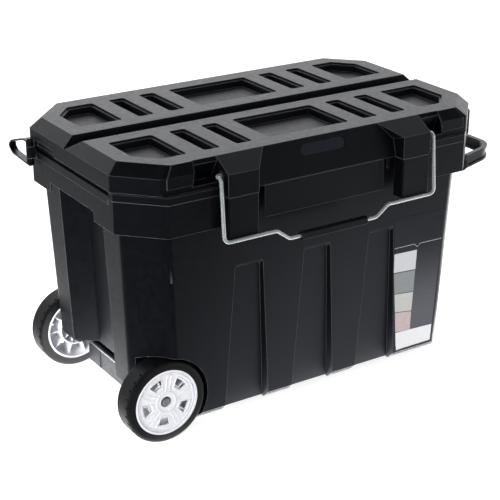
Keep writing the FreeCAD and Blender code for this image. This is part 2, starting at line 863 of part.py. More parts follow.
def lid_pad():
    """Raised field on the right of the lid's front, with its top outer corner cut off."""
    foot_z = lid_flange_top_z + pad_foot_rise
    root = lid_wall / 2
    waist_y = lid_waist_half_depth + pad_proud
    top_y = lid_top_half_depth + pad_proud
    profile = [V(0, root - lid_waist_half_depth, foot_z), V(0, -waist_y, foot_z), V(0, -waist_y, lid_waist_z)]
    profile += [V(0, -top_y, lid_top_z), V(0, root - lid_top_half_depth, lid_top_z)]
    profile += [V(0, root - lid_waist_half_depth, lid_waist_z)]
    x0 = boss_outer_x + bail_pocket_reach
    x1 = x0 + pad_length
    deep_y = -boss_front_y
    high_z = lid_top_z + graze
    field = [V(x0, deep_y, foot_z), V(x1, deep_y, foot_z)]
    field += [V(x1, deep_y, lid_top_z - pad_bevel_drop - pad_bevel_height)]
    field += [V(x1 - pad_bevel_x, deep_y, lid_top_z - pad_bevel_drop), V(x1 - pad_bevel_x, deep_y, high_z)]
    field += [V(x0 - bail_pocket_slant, deep_y, high_z)]
    slab = prism(profile, V(rim_half_length, 0, 0))
    return slab.common(prism(field, V(0, boss_front_y, 0)))


def pocket_outlines():
    """Corner points of the pockets in the back right quarter of the lid."""
    def rectangle(x0, x1):
        return [(x0, pocket_near_y), (x1, pocket_near_y), (x1, pocket_far_y), (x0, pocket_far_y)]

    half_slot = slot_length / 2
    quarter = [rectangle(first_slot_x - half_slot, first_slot_x + half_slot)]
    quarter.append(rectangle(second_slot_x - half_slot, second_slot_x + half_slot))
    end = [(end_pocket_start, pocket_near_y), (end_pocket_end, pocket_near_y)]
    end += [(end_pocket_end, pocket_far_y - end_pocket_corner_y)]
    end += [(end_pocket_end - end_pocket_corner_x, pocket_far_y), (end_pocket_start, pocket_far_y)]
    quarter.append(end)
    return quarter


def pocket_cutter(points, grow=0.0):
    """Stepped pocket; grown, it is one body that leaves the wall under the pocket."""
    top_z = lid_top_z + graze
    floor_z = lid_top_z - pocket_depth - grow
    floor_inset = pocket_step_width + pocket_draft - grow
    if grow:
        wires = [rounded_wire(inset_points(points, -grow, top_z), pocket_round + grow)]
        wires.append(rounded_wire(inset_points(points, floor_inset - pocket_draft, floor_z), pocket_round))
        return [loft(wires)]
    step_z = lid_top_z - pocket_step_depth
    upper = loft([rounded_wire(inset_points(points, 0, top_z), pocket_round),
                  rounded_wire(inset_points(points, graze, step_z), pocket_round)])
    lower = loft([rounded_wire(inset_points(points, pocket_step_width, top_z), pocket_round),
                  rounded_wire(inset_points(points, floor_inset, floor_z), pocket_round)])
    return [upper, lower]


def pocket_cutters(grow=0.0):
    cutters = []
    for points in pocket_outlines():
        for cutter in pocket_cutter(points, grow):
            cutters += [cutter, mirror_x(cutter), mirror_y(cutter), half_turn(cutter)]
    half = centre_pocket_half_length
    centre = [(-half, pocket_near_y), (half, pocket_near_y), (half, pocket_far_y), (-half, pocket_far_y)]
    for cutter in pocket_cutter(centre, grow):
        cutters += [cutter, mirror_y(cutter)]
    return cutters


def groove_cutter(grow=0.0):
    """Skewed V along the lid's middle: a steep back wall and a sloping front wall."""
    far_x = rim_half_length + past
    bottom_z = lid_top_z - groove_depth
    rise = past / groove_depth
    front_y = groove_front_y + (groove_front_y + groove_bottom_y) * rise
    back_y = groove_back_y + (groove_back_y - groove_bottom_y) * rise
    outline = [(groove_bottom_y, bottom_z), (back_y, lid_top_z + past), (-front_y, lid_top_z + past)]
    points = [V(-far_x, y, z) for y, z in offset_pairs(outline, -grow)]
    return prism(points, V(2 * far_x, 0, 0))


def bail_pocket(sign, grow=0.0):
    """Wedge beside a boss, deepest at its foot, that the bail's elbow swings through."""
    head_z = lid_top_z - bail_pocket_head_drop
    foot_z = head_z - bail_pocket_height
    lean = (bail_pocket_foot_depth - bail_pocket_head_depth) / bail_pocket_height
    far_y = boss_front_y + past

    def floor_y(z):
        return lid_waist_half_depth - bail_pocket_head_depth - grow - (head_z - z) * lean

    near = boss_outer_x - grow
    far = boss_outer_x + bail_pocket_reach + grow
    low_z = foot_z - grow
    high_z = head_z + grow
    outline = [(near, low_z), (far, low_z), (far - bail_pocket_slant, high_z), (near, high_z)]
    front = prism([V(sign * x, -far_y, z) for x, z in outline], V(0, far_y, 0))
    wedge = [V(0, -floor_y(low_z - past), low_z - past), V(0, -floor_y(high_z + past), high_z + past)]
    wedge += [V(0, -far_y - past, high_z + past), V(0, -far_y - past, low_z - past)]
    return front.common(prism(wedge, V(sign * rim_half_length, 0, 0)))


def lid_cove(grow=0.0):
    """Recess in the left end of the lid beside the swing loop's upper arm."""
    start_y = loop_pin_y - lug_radius / 2 + grow
    end_y = loop_pin_y - loop_reach - lid_cove_margin - grow
    low_z = rim_height + end_lip_height - grow
    inner_x = lid_waist_half_length - lid_cove_depth - grow
    return box(-lid_waist_half_length - past, -inner_x, end_y, start_y, low_z,
               low_z + lid_cove_height + 2 * grow)


def badge_outline(length, height, z_mid, y_of, lift):
    """Pill-shaped wire on the apron's slope, lifted off it along Y."""
    straight = length / 2 - height / 2
    half = height / 2
    corners = []
    for i in range(0, 2):
        side = 1 - 2 * i
        corners.append((side * straight, -side * half))
        corners.append((side * (straight + half), 0))
        corners.append((side * straight, side * half))
    places = []
    for x, dz in corners:
        places.append(V(badge_x + x, -(y_of(z_mid + dz) + lift), z_mid + dz))
    edges = [Part.Arc(places[0], places[1], places[2]).toShape()]
    edges.append(Part.LineSegment(places[2], places[3]).toShape())
    edges.append(Part.Arc(places[3], places[4], places[5]).toShape())
    edges.append(Part.LineSegment(places[5], places[0]).toShape())
    return Part.Wire(edges)


def badge_solid(margin, low, high):
    """Pill slab on the apron between two distances from its face; margin shrinks it all round."""
    wire = badge_outline(badge_length - 2 * margin, badge_height - 2 * margin, badge_z, apron_y, low)
    return Part.Face(wire).extrude(V(0, -(high - low), 0))


def boss_profile(x, inset=0.0):
    """Side profile of a lid boss at x, drawn in by inset except at its open bottom."""
    front_y = boss_front_y - inset
    back_y = lid_base_half_depth - lid_wall / 2 if not inset else lid_base_half_depth
    slope = (lid_top_z - boss_shoulder_z) / (boss_front_y - lid_top_half_depth)
    lean = atan2(lid_top_z - boss_shoulder_z, boss_front_y - lid_top_half_depth)
    shoulder_z = boss_shoulder_z - inset / cos(lean) + slope * inset
    base_z = lid_base_z - past if inset else lid_base_z
    top_y = lid_top_half_depth if not inset else back_y
    top_z = lid_top_z - (top_y - lid_top_half_depth) * slope - inset / cos(lean)
    points = [V(x, -back_y, base_z), V(x, -front_y, base_z)]
    points += [V(x, -front_y, shoulder_z), V(x, -top_y, top_z)]
    if not inset:
        points.append(V(x, -lid_top_half_depth + lid_wall, lid_top_z))
        points.append(V(x, -lid_top_half_depth + lid_wall, lid_waist_z))
    return points


def lid_boss(sign):
    """Hollow lid boss with its top flared inwards along the lid's edge."""
    width = boss_outer_x - boss_inner_x
    x0 = sign * boss_inner_x
    shell = prism(boss_profile(x0), V(sign * width, 0, 0))
    inner_x = sign * (boss_inner_x + boss_wall)
    hollow = prism(boss_profile(inner_x, boss_wall), V(sign * (width - 2 * boss_wall), 0, 0))
    root_y = lid_top_half_depth
    a = V(x0 - sign * boss_flare, -root_y, lid_top_z)
    b = V(x0, -root_y, lid_top_z)
    c = V(x0, -root_y, lid_top_z - boss_flare_drop)
    d = V(x0, -boss_front_y, boss_shoulder_z)
    faces = [Part.Face(polygon(trio)) for trio in ((a, b, c), (a, d, b), (a, c, d), (b, d, c))]
    flare = Part.Solid(Part.Shell(faces))
    if flare.Volume < 0:
        flare.reverse()
    return shell.cut(hollow), flare


def lid_ribs():
    """Stiffening ribs across the underside, between the pockets."""
    half = lid_rib_thickness / 2
    gap_a = (centre_pocket_half_length + first_slot_x - slot_length / 2) / 2
    gap_b = (first_slot_x + second_slot_x) / 2
    gap_c = (second_slot_x + slot_length / 2 + end_pocket_start) / 2
    low_z = lid_top_z - pocket_depth - lid_rib_depth
    ribs = []
    for x in (gap_a, gap_b, gap_c):
        rib = box(x - half, x + half, -lid_base_half_depth, lid_base_half_depth, low_z, lid_top_z)
        ribs += [rib, mirror_x(rib)]
    return ribs


def tub_ring(low_z, high_z, outer, inner):
    """Ring that follows the tub's wall, between two distances in from its face."""
    ring = loft([tub_outline(low_z, outer), tub_outline(high_z, outer)])
    return ring.cut(loft([tub_outline(low_z - graze, inner), tub_outline(high_z + graze, inner)]))


def lid_lip():
    outer = lid_lip_gap + tub_wall
    return tub_ring(lid_base_z - lid_lip_depth, lid_base_z + lid_wall, outer, outer + lid_lip_wall)


def lid_shelf():
    """Flat web that joins the lid's walls to its lip, just above the rim."""
    high_z = lid_base_z + lid_wall
    outer = loft([rim_outline(lid_base_z, lid_wall), rim_outline(high_z, lid_wall)])
    inner = lid_lip_gap + tub_wall + lid_lip_wall
    hole = loft([tub_outline(lid_base_z - graze, inner), tub_outline(high_z + graze, inner)])
    return outer.common(lid_body()).cut(hole)


def lid_knuckles():
    pieces = []
    half = lid_knuckle_length / 2
    for x in hinge_stations():
        barrel = rod_x(hinge_pivot_y, hinge_pivot_z, hinge_knuckle_radius, x - half, x + half)
        arm = box(x - half, x + half, lid_base_half_depth - lid_wall, hinge_pivot_y, lid_base_z,
                  lid_base_z + hinge_knuckle_radius - lid_gap)
        pieces.append(barrel.fuse(arm))
    return pieces


def make_lid():
    pad = lid_pad()
    outer = lid_body().fuse(lid_flange()).cut(apron_front()).fuse([lid_apron(), pad, mirror_x(pad)])
    bosses = [lid_boss(-1), lid_boss(1)]
    outer = outer.fuse([flare for shell, flare in bosses])
    cove = lid_cove()
    cuts = pocket_cutters() + [groove_cutter(), bail_pocket(-1), bail_pocket(1), cove, half_turn(cove)]
    cuts.append(badge_solid(0.0, -badge_sink, past))
    outer = outer.cut(cuts)
    wide_cove = lid_cove(lid_wall)
    kept = pocket_cutters(lid_wall) + [groove_cutter(lid_wall), bail_pocket(-1, lid_wall)]
    kept += [bail_pocket(1, lid_wall), wide_cove, half_turn(wide_cove), apron_front(lid_wall)]
    inside = lid_body(lid_wall).cut(kept)
    shell = outer.cut(inside)
    ribs = [rib.common(outer) for rib in lid_ribs()]
    lid = shell.fuse(ribs + [s for s, f in bosses] + [lid_lip(), lid_shelf()] + lid_knuckles())
    bush_bore = bore_x(-bail_pivot_y, bail_pivot_z, bush_radius, boss_outer_x - boss_wall, boss_outer_x)
    lid = lid.cut([bush_bore, mirror_x(bush_bore), hinge_bore()])
    return lid.removeSplitter()


def make_badge():
    return badge_solid(badge_gap, -badge_sink, -badge_sink + badge_thickness)


# ---------------------------------------------------------------- latch bail
def bent_tube(points, radii, radius):
    """Round wire along straight runs joined by tangent arcs."""
    edges = []
    last = points[0]
    for i in range(1, len(points) - 1):
        before = points[i - 1] - points[i]
        after = points[i + 1] - points[i]
        before.normalize()
        after.normalize()
        half_angle = before.getAngle(after) / 2
        reach = radii[i - 1] / tan(half_angle)
        bisector = before + after
        bisector.normalize()
        centre = points[i] + bisector * (radii[i - 1] / sin(half_angle))
        start = points[i] + before * reach
        end = points[i] + after * reach
        edges.append(Part.LineSegment(last, start).toShape())
        edges.append(Part.Arc(start, centre - bisector * radii[i - 1], end).toShape())
        last = end
    edges.append(Part.LineSegment(last, points[-1]).toShape())
    path = Part.Wire(edges)
    direction = points[1] - points[0]
    ring = Part.Wire(Part.makeCircle(radius, points[0], direction))
    return path.makePipeShell([ring], True, False)


def bail_points():
    end_x = boss_outer_x - bail_end_reach
    right = [V(0, -bail_bar_y, bail_grip_z), V(bail_jog_inner_x, -bail_bar_y, bail_grip_z)]
    right += [V(bail_jog_outer_x, -bail_bar_y, bail_bar_z), V(bail_leg_x, -bail_bar_y, bail_bar_z)]
    right += [V(bail_leg_x, -bail_top_y, bail_pivot_z), V(bail_leg_x, -bail_pivot_y, bail_pivot_z)]
    right.append(V(end_x, -bail_pivot_y, bail_pivot_z))
    return right


def make_bail():
    points = bail_points()
    radii = [bail_jog_radius, bail_jog_radius, bail_bend_radius, bail_elbow_radius, bail_elbow_radius]
    half = bent_tube(points, radii, bail_radius)
    return half.fuse(mirror_x(half)).removeSplitter()


def make_grip_half(side):
    """One half of the two-part grip that closes on the bail's middle run; side -1 is the front."""
    half = grip_half_length
    sleeve = rod_x(-bail_bar_y, bail_grip_z, grip_radius, -half, half)
    flat = box(-half, half, -bail_bar_y - 2 * grip_radius, -bail_bar_y - grip_flat,
               bail_grip_z - 2 * grip_radius, bail_grip_z + 2 * grip_radius)
    bore = bore_x(-bail_bar_y, bail_grip_z, bail_radius, -half, half)
    away = box(-half - graze, half + graze, -bail_bar_y, -bail_bar_y + 2 * grip_radius,
               bail_grip_z - 2 * grip_radius, bail_grip_z + 2 * grip_radius)
    if side > 0:
        away.translate(V(0, -2 * grip_radius, 0))
    return sleeve.cut([flat, bore, away])


def make_bushes():
    """Flanged bushes in the outer sides of the lid bosses."""
    inner_x = boss_outer_x - boss_wall - bush_tail
    outer_x = boss_outer_x + bush_flange
    body = rod_x(-bail_pivot_y, bail_pivot_z, bush_radius, inner_x, boss_outer_x)
    flange = rod_x(-bail_pivot_y, bail_pivot_z, bush_flange_radius, boss_outer_x, outer_x)
    bore = bore_x(-bail_pivot_y, bail_pivot_z, bail_radius, inner_x, outer_x)
    bush = body.fuse(flange).cut(bore)
    return Part.makeCompound([bush, mirror_x(bush)])


# ---------------------------------------------------------------- hinge rod
def rod_end_x():
    return tub_knuckle_spans()[-1][1]


def make_hinge_rod():
    end_x = rod_end_x() + rod_cap_length - rod_cap_end
    return rod_x(hinge_pivot_y, hinge_pivot_z, hinge_rod_radius, -end_x, end_x)


def make_rod_caps():
    x0 = rod_end_x() + seat_gap
    cap = rod_x(hinge_pivot_y, hinge_pivot_z, rod_cap_radius, x0, x0 + rod_cap_length)
    bore = rod_x(hinge_pivot_y, hinge_pivot_z, hinge_rod_radius + shaft_gap, x0 - graze,
                 rod_end_x() + rod_cap_length - rod_cap_end)
    cap = cap.cut(bore)
    return Part.makeCompound([cap, mirror_x(cap)])


# ---------------------------------------------------------------- wheels, shown for the front side
def around_axle(shape, angle):
    turned = shape.copy()
    turned.rotate(V(axle_x, 0, axle_z), V(0, 1, 0), angle)
    return turned


def make_tyre():
    outer = rod_y(axle_x, axle_z, wheel_radius, -wheel_outer_y, -wheel_inner_y)
    edges = [e for e in outer.Edges if e.Closed]
    outer = outer.makeFillet(tyre_edge_round, edges)
    bore = rod_y(axle_x, axle_z, tyre_bore_radius, -wheel_outer_y - graze, -wheel_inner_y + graze)
    cuts = [bore]
    step = 360.0 / tread_count
    low = wheel_radius - tread_depth
    for i in range(tread_count):
        for y0, shift in ((-wheel_outer_y - graze, 0.0), (-wheel_inner_y - tread_reach, 0.5)):
            groove = box(axle_x - tread_width / 2, axle_x + tread_width / 2, y0, y0 + tread_reach + graze,
                         axle_z + low, axle_z + wheel_radius + graze)
            cuts.append(around_axle(groove, (i + shift) * step))
    return outer.cut(cuts)


def rim_window(low_y, high_y):
    """Sector window between two radii through the rim's web."""
    ring = rod_y(axle_x, axle_z, rim_window_outer, low_y, high_y)
    ring = ring.cut(rod_y(axle_x, axle_z, rim_window_inner, low_y - graze, high_y + graze))
    spread = radians(rim_window_half_angle)
    near_y = low_y - graze
    rise = 2 * rim_window_outer * cos(spread)
    run = 2 * rim_window_outer * sin(spread)
    fan = [V(axle_x, near_y, axle_z), V(axle_x - run, near_y, axle_z + rise)]
    fan.append(V(axle_x + run, near_y, axle_z + rise))
    return ring.common(prism(fan, V(0, high_y - low_y + 2 * graze, 0)))


def wheel_tube(outer, inner, low_y, high_y):
    tube = rod_y(axle_x, axle_z, outer, low_y, high_y)
    return tube.cut(rod_y(axle_x, axle_z, inner, low_y - graze, high_y + graze))


def make_wheel_rim():
    radius = tyre_bore_radius - shaft_gap
    face_y = -wheel_outer_y
    back_y = -wheel_inner_y
    web_y = face_y + rim_web_recess
    ribs_y = web_y + rim_web
    barrel = wheel_tube(radius, radius - rim_barrel_wall, face_y, back_y)
    web = rod_y(axle_x, axle_z, radius - graze, web_y, ribs_y)
    hub = rod_y(axle_x, axle_z, hub_radius, -hub_face_y, back_y)
    collar = rod_y(axle_x, axle_z, hub_radius + rim_web, web_y, ribs_y + 2 * rim_web)
    ring = wheel_tube(rim_inner_ring_radius, rim_inner_ring_radius - rim_rib, ribs_y, back_y - rim_web)
    ribs = []
    for i in range(rim_rib_count):
        rib = box(axle_x - rim_rib / 2, axle_x + rim_rib / 2, ribs_y, back_y - 2 * rim_web,
                  axle_z + hub_radius - graze, axle_z + radius - graze)
        ribs.append(around_axle(rib, (i + 0.5) * 360 / rim_rib_count))
    window = rim_window(web_y - graze, ribs_y + graze)
    windows = []
    for i in range(rim_window_count):
        windows.append(around_axle(window, rim_window_start + i * 360 / rim_window_count))
    rim = barrel.fuse([web.cut(windows), collar, hub, ring] + ribs)
    counterbore = rod_y(axle_x, axle_z, washer_radius + graze, face_y - graze, -hub_face_y)
    bore = bore_y(axle_x, axle_z, axle_radius, face_y, back_y)
    return rim.cut([counterbore, bore]).removeSplitter()


def axle_end_y():
    return hub_face_y + seat_gap + washer_thickness + push_nut_height - push_nut_crown


def make_axle():
    end_y = axle_end_y()
    return rod_y(axle_x, axle_z, axle_radius, -end_y, end_y)


def make_spacers():
    y0 = saddle_y + saddle_length / 2 + seat_gap
    tube = wheel_tube(spacer_radius, axle_radius + shaft_gap, y0, wheel_inner_y - seat_gap)
    return Part.makeCompound([tube, mirror_y(tube)])


def make_washers():
    y0 = hub_face_y + seat_gap
    disc = wheel_tube(washer_radius, axle_radius + shaft_gap, y0, y0 + washer_thickness)
    return Part.makeCompound([disc, mirror_y(disc)])


def make_push_nuts():
    """Domed push nuts pressed on the axle's ends."""
    y0 = hub_face_y + seat_gap + washer_thickness
    y1 = y0 + push_nut_height
    nut = rod_y(axle_x, axle_z, push_nut_radius, y0, y1)
    edge = [e for e in nut.Edges if e.Closed and abs(e.BoundBox.YMin - y1) < hair]
    nut = nut.makeChamfer(push_nut_chamfer, edge)
    nut = nut.cut(rod_y(axle_x, axle_z, axle_radius + shaft_gap, y0 - graze, axle_end_y() + seat_gap / 2))
    return Part.makeCompound([nut, mirror_y(nut)])


def make_saddles():
    """Blocks screwed up into their pockets, with the axle running through them."""
    blocks = []
    half = channel_half_width - seat_gap
    for side in (-1, 1):
        y0 = side * saddle_y - saddle_length / 2
        y1 = side * saddle_y + saddle_length / 2
        block = box(axle_x - half, axle_x + half, y0, y1, saddle_low_z, channel_top_z)
        cuts = [bore_y(axle_x, axle_z, axle_radius, y0, y1)]
        for x, y in saddle_screw_places():
            if y * side > 0:
                cuts.append(bore_z(x, y, saddle_screw_radius, 0, channel_top_z))
        blocks.append(block.cut(cuts))
    return Part.makeCompound(blocks)


def make_saddle_screws():
    screws = []
    head_top = saddle_low_z
    head_low = head_top - saddle_screw_head
    half_slot = saddle_screw_slot / 2
    reach = saddle_screw_head_radius
    for x, y in saddle_screw_places():
        shank = rod_z(x, y, saddle_screw_radius, head_low, channel_top_z + saddle_screw_bite - graze)
        head = rod_z(x, y, reach, head_low, head_top)
        slot = box(x - reach, x + reach, y - half_slot, y + half_slot, head_low - graze, head_low + graze)
        screws.append(shank.fuse(head).cut(slot))
    return Part.makeCompound(screws)


# ---------------------------------------------------------------- tow handle
def tow_band(width):
    """Plan of the D-shaped handle as a band of the given width, extruded tall."""
    mid = tow_flange_width / 2
    grip_x = tow_reach - mid

    def side_points(offset):
        root_x = tow_pivot_x
        return [V(root_x, -tow_arm_y - offset, 0), V(grip_x + offset, -tow_corner_y - offset, 0),
                V(grip_x + offset, tow_corner_y + offset, 0), V(root_x, tow_arm_y + offset, 0)]

    half = width / 2
    solids = []
    for offset in (half, -half):
        points = side_points(offset)
        points.append(V(tow_pivot_x - past, tow_arm_y + offset, 0))
        points.insert(0, V(tow_pivot_x - past, -tow_arm_y - offset, 0))
        radii = [crease_round, tow_root_radius, tow_corner_radius + offset]
        radii += radii[::-1]
        solids.append(plate(points, radii, V(0, 0, tall)))
    ring = solids[0].cut(solids[1])
    keep = box(tow_pivot_x, tow_reach + past, -rim_half_depth, rim_half_depth, 0, tall)
    return ring.common(keep)


def tow_side(inset):
    """Side view of the handle, tapering and rising from the pivot to the grip."""
    root = tow_root_height / 2 - inset
    tip = tow_tip_height / 2 - inset
    tip_z = tow_pivot_z + tow_tip_rise
    near_x = tow_pivot_x - past
    far_x = tow_reach + past
    outline = [(near_x, tow_pivot_z - root), (far_x, tip_z - tip)]
    outline += [(far_x, tip_z + tip), (near_x, tow_pivot_z + root)]
    return prism([V(x, -rim_half_depth, z) for x, z in outline], V(0, 2 * rim_half_depth, 0))


def make_tow_handle():
    slim = tow_band(tow_web)
    wide = tow_band(tow_flange_width)
    near_x = tow_pivot_x - past
    skirt_x = rim_half_length + skirt_wall
    deep_y = rim_half_depth
    under_skirt = box(near_x, skirt_x, -deep_y, deep_y, skirt_bottom_z - seat_gap, tall)
    waist = wide.cut(slim).common(tow_side(tow_flange_thickness))
    handle = wide.common(tow_side(0.0)).cut([waist, under_skirt])
    half = tow_eye_width / 2
    slot_half = half + 2 * swing_gap + tow_cheek
    cheek_reach = tow_pivot_x + tow_cheek_drop + 3 * swing_gap
    cheek_room = []
    eyes = []
    bores = []
    for y in (-tow_arm_y, tow_arm_y):
        eyes.append(rod_y(tow_pivot_x, tow_pivot_z, tow_eye_radius, y - half, y + half))
        bores.append(bore_y(tow_pivot_x, tow_pivot_z, tow_pin_radius, y - half, y + half))
        for side in (-1, 1):
            y0, y1 = sorted((y + side * half, y + side * slot_half))
            cheek_room.append(box(near_x, cheek_reach, y0, y1, 0, tall))
    return handle.cut(cheek_room).fuse(eyes).cut(bores).removeSplitter()


def make_tow_pins():
    pins = []
    reach = tow_eye_width / 2 + swing_gap + tow_cheek
    for y in (-tow_arm_y, tow_arm_y):
        pin = rod_y(tow_pivot_x, tow_pivot_z, tow_pin_radius, y - reach, y + reach)
        y0, y1 = (y + reach, y + reach + tow_pin_head) if y > 0 else (y - reach - tow_pin_head, y - reach)
        head = rod_y(tow_pivot_x, tow_pivot_z, tow_pin_head_radius, y0, y1)
        pins.append(pin.fuse(head))
    return Part.makeCompound(pins)


# ---------------------------------------------------------------- swing loops
def make_loop():
    """Loop at the back left corner, swung out past the corner."""
    x0 = -loop_pin_x - loop_width / 2
    tip_y = loop_pin_y + loop_reach
    mid_z = (loop_top_z - loop_slope + loop_bottom_z + loop_foot_rise) / 2

    def outline(band):
        shoulder = loop_pin_y + loop_reach - loop_tip_height
        top = loop_top_z - band
        bottom = loop_bottom_z + band
        points = [V(x0, loop_pin_y, bottom), V(x0, shoulder, bottom + loop_foot_rise)]
        points += [V(x0, tip_y - band, mid_z - loop_nose), V(x0, tip_y - band, mid_z + loop_nose)]
        points += [V(x0, shoulder, top - loop_slope), V(x0, loop_pin_y + 2 * lug_radius, top)]
        points.append(V(x0, loop_pin_y, top))
        return plate(points, [crease_round] + [loop_round] * 5 + [crease_round], V(loop_width, 0, 0))

    band = outline(0.0).cut(outline(loop_band))
    band = band.cut(box(x0 - graze, x0 + loop_width + graze, 0, loop_pin_y, 0, tall))
    upper = rod_z(-loop_pin_x, loop_pin_y, lug_radius, loop_top_z - loop_eye_height, loop_top_z)
    lower = rod_z(-loop_pin_x, loop_pin_y, lug_radius, loop_bottom_z, loop_bottom_z + loop_eye_height)
    window = [rod_z(-loop_pin_x, loop_pin_y, lug_radius + swing_gap, loop_bottom_z + loop_eye_height,
                    loop_top_z - loop_eye_height)]
    loop = band.cut(window).fuse([upper, lower])
    bore = bore_z(-loop_pin_x, loop_pin_y, loop_pin_radius, loop_bottom_z, loop_top_z)
    return loop.cut(bore).removeSplitter()


def make_loop_pin():
    pin = rod_z(-loop_pin_x, loop_pin_y, loop_pin_radius, loop_bottom_z - loop_pin_head, loop_top_z)
    top = rod_z(-loop_pin_x, loop_pin_y, loop_pin_head_radius, loop_top_z + seat_gap,
                loop_top_z + seat_gap + loop_pin_head)
    stem = rod_z(-loop_pin_x, loop_pin_y, loop_pin_radius, loop_top_z, loop_top_z + seat_gap)
    low = rod_z(-loop_pin_x, loop_pin_y, loop_pin_head_radius, loop_bottom_z - seat_gap - loop_pin_head,
                loop_bottom_z - seat_gap)
    return pin.fuse([top, stem, low]).removeSplitter()


def folded_in(shape):
    """The same loop at the front right corner, folded along the right end."""
    turned = half_turn(shape)
    turned.rotate(V(loop_pin_x, -loop_pin_y, 0), V(0, 0, 1), 180)
    return turned


# ---------------------------------------------------------------- label
def make_label():
    low_end_x = tub_half_length(label_low_z) - label_end_inset
    high_end_x = tub_half_length(label_high_z) - label_end_inset
    places = [(label_foot_x, label_low_z), (low_end_x, label_low_z)]
    places += [(high_end_x, label_high_z), (label_head_x, label_high_z)]
    points = [V(x, -tub_half_depth(z), z) for x, z in places]
    return plate(points, label_corner, V(0, -label_thickness, 0))


# ---------------------------------------------------------------- write the nodes
rim_shape = make_wheel_rim()
tyre_shape = make_tyre()
loop_shape = make_loop()
loop_pin_shape = make_loop_pin()
nodes = {
    "tub_shell": make_tub(),
    "lid_shell": make_lid(),
    "badge_plate": make_badge(),
    "front_label": make_label(),
    "bail_wire": make_bail(),
    "bail_grip_front": make_grip_half(-1),
    "bail_grip_back": make_grip_half(1),
    "bail_bushes": make_bushes(),
    "hinge_rod": make_hinge_rod(),
    "hinge_rod_caps": make_rod_caps(),
    "axle": make_axle(),
    "axle_spacers": make_spacers(),
    "axle_washers": make_washers(),
    "push_nuts": make_push_nuts(),
    "axle_saddles": make_saddles(),
    "saddle_screws": make_saddle_screws(),
    "wheel_rim_front": rim_shape,
    "wheel_tyre_front": tyre_shape,
    "wheel_rim_back": mirror_y(rim_shape),
    "wheel_tyre_back": mirror_y(tyre_shape),
    "tow_handle": make_tow_handle(),
    "tow_handle_pins": make_tow_pins(),
    "swing_loop_left": loop_shape,
    "swing_loop_left_pin": loop_pin_shape,
    "swing_loop_right": folded_in(loop_shape),
    "swing_loop_right_pin": half_turn(loop_pin_shape),
}
for name, shape in nodes.items():
    shape.translate(V(0, 0, ground_clearance))
    shape.exportStep("parts/" + name + ".step")
    print(name, "solids", len(shape.Solids), "valid", shape.isValid(), "volume", round(shape.Volume))
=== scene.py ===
from math import cos, pi, radians, sin

import bmesh
import bpy
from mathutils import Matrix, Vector


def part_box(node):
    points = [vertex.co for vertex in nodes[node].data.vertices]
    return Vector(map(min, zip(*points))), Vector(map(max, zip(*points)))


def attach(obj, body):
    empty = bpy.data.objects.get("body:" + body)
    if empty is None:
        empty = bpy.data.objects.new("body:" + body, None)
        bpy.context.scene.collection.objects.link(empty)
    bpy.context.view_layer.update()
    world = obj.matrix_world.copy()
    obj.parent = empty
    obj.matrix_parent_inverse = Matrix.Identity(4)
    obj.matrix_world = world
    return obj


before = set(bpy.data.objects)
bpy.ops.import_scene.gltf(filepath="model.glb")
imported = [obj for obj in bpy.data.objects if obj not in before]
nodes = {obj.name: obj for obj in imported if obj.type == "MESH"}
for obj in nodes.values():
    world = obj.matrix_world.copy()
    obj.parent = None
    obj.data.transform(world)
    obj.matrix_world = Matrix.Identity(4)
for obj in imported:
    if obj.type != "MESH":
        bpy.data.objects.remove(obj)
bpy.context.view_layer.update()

mm = 0.001  # sizes below are in millimetres, the scene is in metres
lift = 24.2  # the ground lies this far below the tub's underside
noiseLow, noiseHigh = 0.3, 0.7  # a noise pattern seldom leaves these


# small helpers

def hexColour(code):
    channels = [int(code[i:i + 2], 16) / 255 for i in (1, 3, 5)]
    return [c / 12.92 if c <= 0.04045 else ((c + 0.055) / 1.055) ** 2.4 for c in channels] + [1]


def feed(tree, socket, value):
    # a link where the value is another node's output, else a plain setting
    if isinstance(value, bpy.types.NodeSocket):
        tree.links.new(value, socket)
    else:
        socket.default_value = value


def addNode(tree, kind, inputs=None, **settings):
    node = tree.nodes.new(kind)
    for key, value in settings.items():
        setattr(node, key, value)
    for key, value in (inputs or {}).items():
        feed(tree, node.inputs[key], value)
    return node


def newMaterial(name, **inputs):
    material = bpy.data.materials.new(name)
    material.use_nodes = True
    tree = material.node_tree
    tree.nodes.clear()
    named = {key.replace("_", " "): value for key, value in inputs.items()}
    shader = addNode(tree, "ShaderNodeBsdfPrincipled", named)
    addNode(tree, "ShaderNodeOutputMaterial", {"Surface": shader.outputs["BSDF"]})
    return material, tree, shader


def objectPlace(tree, stretch=(1, 1, 1)):
    place = addNode(tree, "ShaderNodeTexCoord").outputs["Object"]
    if stretch == (1, 1, 1):
        return place
    return addNode(tree, "ShaderNodeMapping", {"Scale": stretch, "Vector": place}).outputs[0]


def noise(tree, width, detail=2.0, stretch=(1, 1, 1)):
    # width is the size of its patches in millimetres
    inputs = {"Scale": 1 / (width * mm), "Detail": detail, "Roughness": 0.6}
    inputs["Vector"] = objectPlace(tree, stretch)
    return addNode(tree, "ShaderNodeTexNoise", inputs).outputs["Fac"]


def mapRange(tree, source, low, high, toLow=0.0, toHigh=1.0, smooth=False):
    inputs = {"Value": source, "From Min": low, "From Max": high, "To Min": toLow, "To Max": toHigh}
    kind = "SMOOTHSTEP" if smooth else "LINEAR"
    return addNode(tree, "ShaderNodeMapRange", inputs, interpolation_type=kind).outputs["Result"]


def maths(tree, operation, *values):
    return addNode(tree, "ShaderNodeMath", dict(enumerate(values)), operation=operation).outputs[0]


def axisPart(tree, vector, axis):
    return addNode(tree, "ShaderNodeSeparateXYZ", {0: vector}).outputs[axis]


